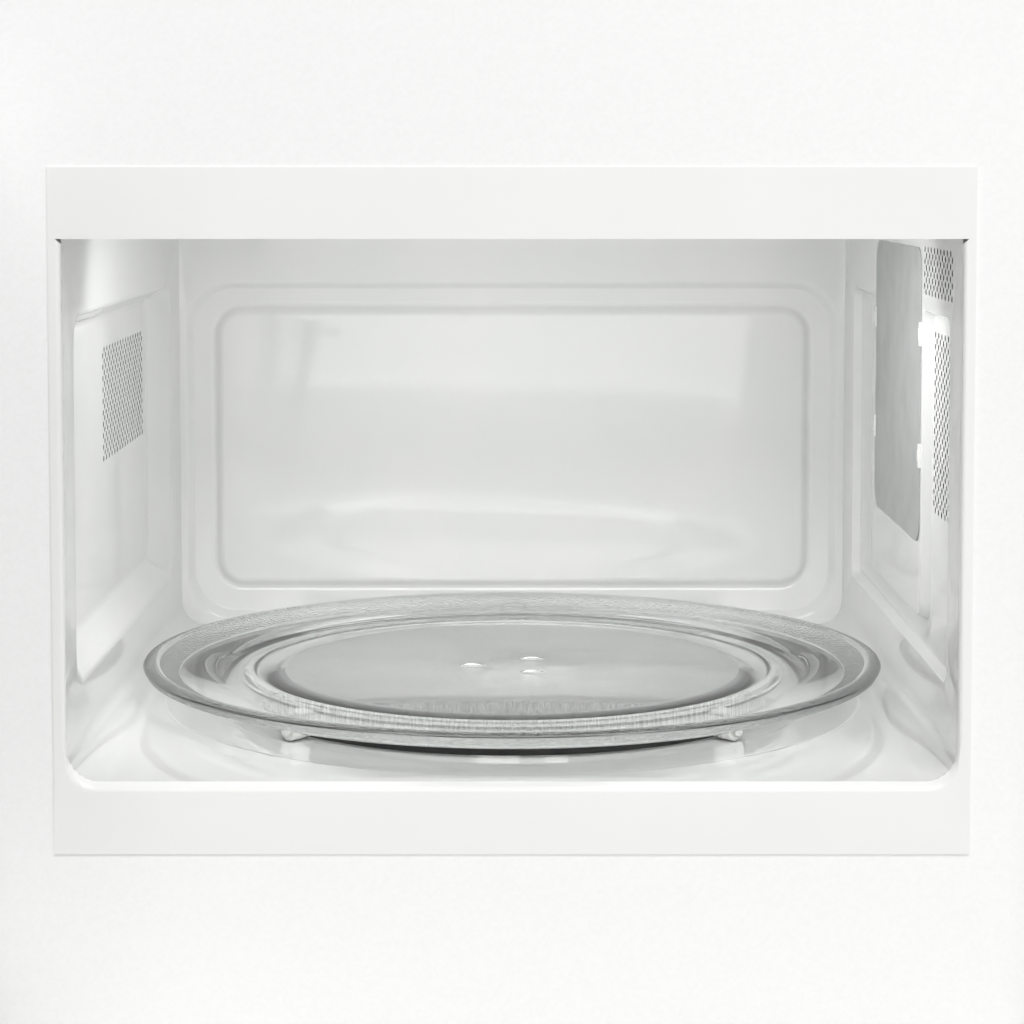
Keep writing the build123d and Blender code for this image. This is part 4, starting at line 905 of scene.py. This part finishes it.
zinc_sheet = new_material("galvanised_steel")
spangle = add_node(zinc_sheet, "TexVoronoi", {"Scale": 220.0, "Randomness": 1.0})
scuffs = add_node(zinc_sheet, "TexNoise", {"Scale": 25.0, "Detail": 5.0})
crystal = add_node(zinc_sheet, "SeparateColor", {}, {"Color": (spangle, "Color")})
tone = add_node(zinc_sheet, "ValToRGB", {}, {"Fac": (crystal, "Red")},
                stops=((0.0, "CCCFD1"), (1.0, "D6D9DB")))
dull = add_node(zinc_sheet, "Math", {1: 0.5}, {0: (scuffs, "Fac"), 2: (crystal, "Green")},
                {"operation": "MULTIPLY_ADD"})
gloss = add_node(zinc_sheet, "MapRange", {"From Max": 1.5, "To Min": 0.36, "To Max": 0.5},
                 {"Value": (dull, "Value")})
bumps = add_node(zinc_sheet, "Bump", {"Strength": 0.05, "Distance": 0.0005}, {"Height": (scuffs, "Fac")})
add_node(zinc_sheet, "BsdfPrincipled", {"Metallic": 1.0}, {
    "Base Color": (tone, "Color"), "Roughness": (gloss, "Result"), "Normal": (bumps, "Normal")})
give(zinc_sheet, "outer_case", "base_plate", "rear_panel", "fan_plate", "waveguide", "hinge_brackets")

# Feet and cable bush
# Moulded in black rubber, the same black that paints the shade on the roller ring's outer wall. The feet push
# into the base from below, and the bush lines a hole in the rear panel.

give(black_rubber_and_shade, "cable_inlet")

feet = []
for x in (-157, 325):
    for y in (36, 328):
        foot = turned("foot", 32, [(9.6, 0.0), (11.2, 0.3), (12.0, 1.4), (12.0, 3.0), (11.4, 3.6),
                                   (11.4, 5.4), (12.0, 6.0), (12.0, 10.0)])
        pick(foot, "FACE", lambda px, py, pz: near(pz, 0))
        inset(4.0)
        inset(0.6, -2.0)
        put(foot, (x, y - centre[1], 0))
        feet.append(foot)
feet = join(feet)
feet.name = "rubber_feet"
coat(feet, black_rubber_and_shade)
smooth(feet)
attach(feet, "housing")
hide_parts("base_feet")

# Case screws
# Six zinc-plated steel screws hold the rear panel to the case. Their hexagon heads are sunk in the middle,
# and the plating is bright with a slight haze.

head_end = 364.7
zinc_plate = grained_material("zinc_plated_steel", {"Scale": 300.0, "Detail": 3.0}, ("A8ADB2", "C4C9CC"),
                              gloss=(0.2, 0.4), finish={"Metallic": 1.0})


def face_front(piece, x, z, back_to_front=1):
    """Lays a form made upright on the tray's middle on its back, with its axis along y, at a place x, z."""
    put(piece, (x, 0, z - back_to_front * centre[1]), (back_to_front * pi / 2, 0, 0))


screws = []
for x in (-179, 84, 347):
    for z in (19, 363):
        screw = turned("screw", 6, [(3.9, 362.82), (4.0, 362.9), (4.0, 364.2), (3.6, head_end)])
        pick(screw, "FACE", lambda px, py, pz: near(pz, head_end))
        for width, depth in ((0.5, 0), (0.4, -0.5), (1.1, 0)):
            inset(width, depth)
        face_front(screw, x, z, -1)
        screws.append(screw)
screws = join(screws)
screws.name = "panel_screws"
coat(screws, zinc_plate)
smooth(screws, 25)
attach(screws, "housing")
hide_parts("case_screws")

# Turntable motor and shaft
# A small geared motor in a bright steel can, screwed under the oven. Its shaft drives the coupler, and both
# show fine rings from the lathe.

turned_steel = grained_material("turned_steel", {"Scale": 400.0, "Distortion": 0.4}, ("9A9C9E", "B6B8BA"),
                                gloss=(0.25, 0.38), finish={"Metallic": 1.0}, places=(0.0, 1.0),
                                kind="TexWave", settings={"wave_type": "RINGS", "rings_direction": "Z"},
                                move={"Location": (0, -centre[1] * mm, 0)})
give(turned_steel, "turntable_motor", "drive_shaft")

# Microwave generator
# The magnetron's cooling fins are plain rolled aluminium. The transformer and the fan's motor are dark
# varnished laminations, and the capacitor is a drawn aluminium can.

rolled = grained_material("rolled_aluminium", {"Scale": 1.0, "Detail": 3.0}, ("C6C8CA", "D8DADB"),
                          gloss=(0.3, 0.45), finish={"Metallic": 1.0}, move={"Scale": (40.0, 900.0, 900.0)})
give(rolled, "magnetron", "capacitor")

# The sheets are 0.5 mm thick in truth, and are drawn 1 mm thick so that they show.
laminated = grained_material("varnished_laminated_iron", {"Scale": 160.0, "Distortion": 0.3},
                             ("1C1A19", "35302C"), (0.3, 0.0004), places=(0.0, 1.0), kind="TexWave",
                             finish={"Roughness": 0.4, "Coat Weight": 0.5}, settings={"bands_direction": "Y"})
give(laminated, "transformer", "fan_motor")

# Fan, switches and lamp
# The fan's rotor is black glass-filled nylon, slightly rough. Switches, plungers and cut-outs are black
# polyester. The lamp is a clear bulb in its holder.

nylon = grained_material("glass_filled_nylon", {"Scale": 800.0, "Detail": 3.0}, ("1B1B1C", "262627"),
                         (0.15, 0.0002), (0.45, 0.6))
give(nylon, "fan_rotor", "interlock_switches", "thermal_cutouts", "lower_plunger", "upper_plunger")

lamp_glass = grained_material("lamp_glass", {"Scale": 60.0, "Detail": 2.0}, gloss=(0.04, 0.12),
                              finish={"Base Color": linear("F2F0E8"), "Transmission Weight": 0.8, "IOR": 1.5})
give(lamp_glass, "oven_lamp")

# Circuit boards
# Glass-fibre laminate under a green lacquer, with faint tracks of copper below it. One filters the mains, and
# the other sits behind the control panel.

board_face = new_material("lacquered_circuit_board")
tracks = add_node(board_face, "TexBrick", {
    "Scale": 120.0, "Mortar Size": 0.06, "Color1": linear("1F5A38"), "Color2": linear("236040"),
    "Mortar": linear("3C7A4E")})
bumps = add_node(board_face, "Bump", {"Strength": 0.2, "Distance": 0.0001}, {"Height": (tracks, "Fac")})
add_node(board_face, "BsdfPrincipled", {"Roughness": 0.35}, {
    "Base Color": (tracks, "Color"), "Normal": (bumps, "Normal")})
give(board_face, "filter_board", "control_board")

# Latch
# Hooks, catch and release slide are moulded in the same white acetal as the roller ring, which slides well
# on itself.

give(acetal, "latch_hooks", "latch_bracket", "release_slide")

# Door
# A white moulded skin with a tinted glass, on a powder-coated steel pan. A black punched screen and a clear
# pane close its window, and a grey moulded cover hides the choke round it. It hangs open at 90 degrees.

gloss_plastic = new_material("moulded_abs")
peel = add_node(gloss_plastic, "TexNoise", {"Scale": 350.0, "Detail": 2.0})
wear = add_node(gloss_plastic, "TexNoise", {"Scale": 22.0, "Detail": 4.0})
tone = add_node(gloss_plastic, "ValToRGB", {}, {"Fac": (wear, "Fac")},
                stops=((0.3, "EEEEED"), (0.7, "F0F0EF")))
gloss = add_node(gloss_plastic, "MapRange", {"To Min": 0.26, "To Max": 0.3}, {"Value": (wear, "Fac")})
bumps = add_node(gloss_plastic, "Bump", {"Strength": 0.05, "Distance": 0.0003}, {"Height": (peel, "Fac")})
add_node(gloss_plastic, "BsdfPrincipled", {}, {
    "Base Color": (tone, "Color"), "Roughness": (gloss, "Result"), "Normal": (bumps, "Normal")})


def open_block(name, low, high, hole_low, hole_high):
    """A block with a rectangular window through it along x, between two corners of y and z in millimetres."""
    piece = block(name, low, high)
    edit(piece)
    for axis, normal in ((0, (0, 1, 0)), (1, (0, 0, 1))):
        for value in (hole_low[axis], hole_high[axis]):
            cut(piece, everywhere, (0, value, value), normal)
    remove_faces(piece, lambda x, y, z: hole_low[0] - 0.01 < y < hole_high[0] + 0.01
                 and hole_low[1] - 0.01 < z < hole_high[1] + 0.01)
    bore_through(piece)
    return piece


def soften_frame(piece, face, low, high, hole_low, hole_high, outer, inner):
    """Rounds the outer edges and then the window's edges on one face of a block with a window."""
    soften(piece, lambda x, y, z: near(x, face) and (
        near(y, low[1]) or near(y, high[1]) or near(z, low[2]) or near(z, high[2])), *outer, 20)
    soften(piece, lambda x, y, z: near(x, face) and hole_low[0] - 0.1 < y < hole_high[0] + 0.1
           and hole_low[1] - 0.1 < z < hole_high[1] + 0.1, *inner, 20)


skin_low = (-228.5, -426, 2)
skin_high = (-220.5, -6, 386)
window_low = (-369, 100)
window_high = (-69, 286)
door_face = open_block("door_face", skin_low, skin_high, window_low, window_high)
pick(door_face, "FACE", lambda x, y, z: near(x, skin_high[0]))
inset(2.5)
move((-5.0, 0, 0))
soften_frame(door_face, skin_low[0], skin_low, skin_high, window_low, window_high, (2.4, 5), (0.5, 3))
coat(door_face, gloss_plastic)
smooth(door_face)
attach(door_face, "door")
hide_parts("door_skin")

# The outer glass is dark, with a black border fired onto its back round the clearer window. Both sizes are
# in metres: the window's middle, and half of its width and height.
pane_middle = (-0.219, 0.193)
pane_half = (0.142, 0.084)
tinted = new_material("tinted_glass_with_black_border")
unit = add_node(tinted, "Mapping", {
    "Location": (0, -pane_middle[0] / pane_half[0], -pane_middle[1] / pane_half[1]),
    "Scale": (0, 1 / pane_half[0], 1 / pane_half[1])})
axes = add_node(tinted, "SeparateXYZ", {}, {"Vector": (unit, "Vector")})
across = add_node(tinted, "Math", {}, {0: (axes, "Y")}, {"operation": "ABSOLUTE"})
upward = add_node(tinted, "Math", {}, {0: (axes, "Z")}, {"operation": "ABSOLUTE"})
edge = add_node(tinted, "Math", {}, {0: (across, "Value"), 1: (upward, "Value")}, {"operation": "MAXIMUM"})
clear = add_node(tinted, "MapRange", {"From Min": 0.98, "From Max": 1.0, "To Min": 0.85, "To Max": 0.0},
                 {"Value": (edge, "Value")})
tone = add_node(tinted, "ValToRGB", {}, {"Fac": (clear, "Result")}, stops=((0.0, "0B0B0C"), (0.85, "5A5D5F")))
add_node(tinted, "BsdfPrincipled", {"Roughness": 0.03, "IOR": 1.52}, {
    "Base Color": (tone, "Color"), "Transmission Weight": (clear, "Result")})
give(tinted, "door_outer_glass")
give(glass, "door_inner_window")
give(powder, "door_frame")

# The screen is punched with 2.7 mm holes here, coarser than the 1.3 mm of a real one, so that they show.
screen_x = -199.1
holes_front = -359.4
holes_low = 111.0
hole_columns = 78
hole_rows = 33
black_paint = grained_material("black_stoved_paint", {"Scale": 600.0, "Detail": 2.0}, ("141414", "1E1E1E"),
                               finish={"Roughness": 0.45})
screen_holes = vent_field(screen_x, holes_front, holes_low, hole_columns, hole_rows)
screen_edge = join([frame_only(flat_sheet("punched_screen", (screen_x, -361, 109), (screen_x, -77, 277))),
                    frame_only(flat_sheet("hole_edge", (screen_x, holes_front, holes_low), (
                        screen_x, holes_front + hole_columns * hole_pitch,
                        holes_low + hole_rows * row_pitch + row_pitch / 2)))])
edit(screen_edge)
pick_all()
bpy.ops.mesh.bridge_edge_loops()
screen = join([screen_edge, screen_holes])
merge(screen)
face_towards(screen, (100, -219, 193))
make_thick(screen, 0.4)
coat(screen, black_paint)
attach(screen, "door")
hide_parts("door_screen")

choke_low = (-199.0, -403, 72)
choke_high = (-193.5, -35, 314)
inner_low = (-361, 109)
inner_high = (-77, 277)
grey_plastic = grained_material("moulded_grey_polypropylene", {"Scale": 1000.0, "Detail": 2.0},
                                ("4E4E50", "585859"), (0.25, 0.0002), finish={"Roughness": 0.55})
choke = open_block("choke_trim", choke_low, choke_high, inner_low, inner_high)
soften_frame(choke, choke_high[0], choke_low, choke_high, inner_low, inner_high, (2.5, 5), (1.5, 4))
coat(choke, grey_plastic)
smooth(choke)
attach(choke, "door")
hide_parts("choke_cover")

# Control panel
# The housing, the door button and both keys are moulded in the door's white plastic. The display has a dark
# glass, and shows nothing while the oven is off.

give(gloss_plastic, "control_panel", "door_button")
display_glass = grained_material("black_display_glass", {"Scale": 45.0, "Detail": 4.0}, ("08090A", "0E0F11"),
                                 gloss=(0.03, 0.09), finish={"IOR": 1.52})
give(display_glass, "display_window")

key_height = 128
for name, x in (("start_key", 266), ("stop_key", 324)):
    cap = block(name + "_cap", (x - 24, -39.7, key_height - 7), (x + 24, -34.7, key_height + 7))
    edit(cap)
    soften(cap, lambda px, py, pz: py < -35, 1.2, 4, 20)
    rear = block("flange", (x - 25.5, -34.7, key_height - 8.5), (x + 25.5, -33.1, key_height + 8.5))
    edit(rear)
    soften(rear, everywhere, 0.4, 2, 20)
    stem = rod("stem", 16, 2.0, (x, -33.2, key_height), (x, -27.3, key_height), 0.4)
    cap = join([cap, rear, stem])
    coat(cap, gloss_plastic)
    smooth(cap)
    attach(cap, name.split("_")[0])
    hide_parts(name)

# Selector knob
# Moulded in the door's white plastic, with fine grip flutes round its side, a dished face and a raised grey
# pointer. It turns on a stem in the panel.

knob_steps = 96
knob = turned("dial_knob", knob_steps, [
    (2.4, 23.5), (3.0, 24.1), (3.0, 37.9), (23.4, 37.9), (24.0, 38.5), (24.0, 40.2), (23.4, 40.8),
    (22.9, 53.0), (22.4, 54.2), (21.4, 54.9), (18.8, 54.9), (18.0, 54.5), (17.4, 54.1), (4.0, 53.7)])


def is_flute(face):
    """Whether a face is one of every other strip round the knob's side."""
    spot = face.calc_center_median() / mm
    turn = atan2(spot.y - centre[1], spot.x) * knob_steps / (2 * pi)
    return 41 < spot.z < 53 and from_centre(spot.x, spot.y) > 22.5 and int(turn // 1) % 2 == 0


pick(knob, "FACE", also=is_flute)
inset(0.15, -0.45, use_individual=True)
pointer = block("pointer", (-0.9, centre[1] + 7, 53.5), (0.9, centre[1] + 17.0, 54.85))
edit(pointer)
soften(pointer, lambda x, y, z: z > 54, 0.4, 3, 20)
coat(knob, gloss_plastic)
coat(pointer, grey_plastic)
knob = join([knob, pointer])
face_front(knob, 295, 205)
smooth(knob)
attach(knob, "knob")
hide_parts("selector_knob")
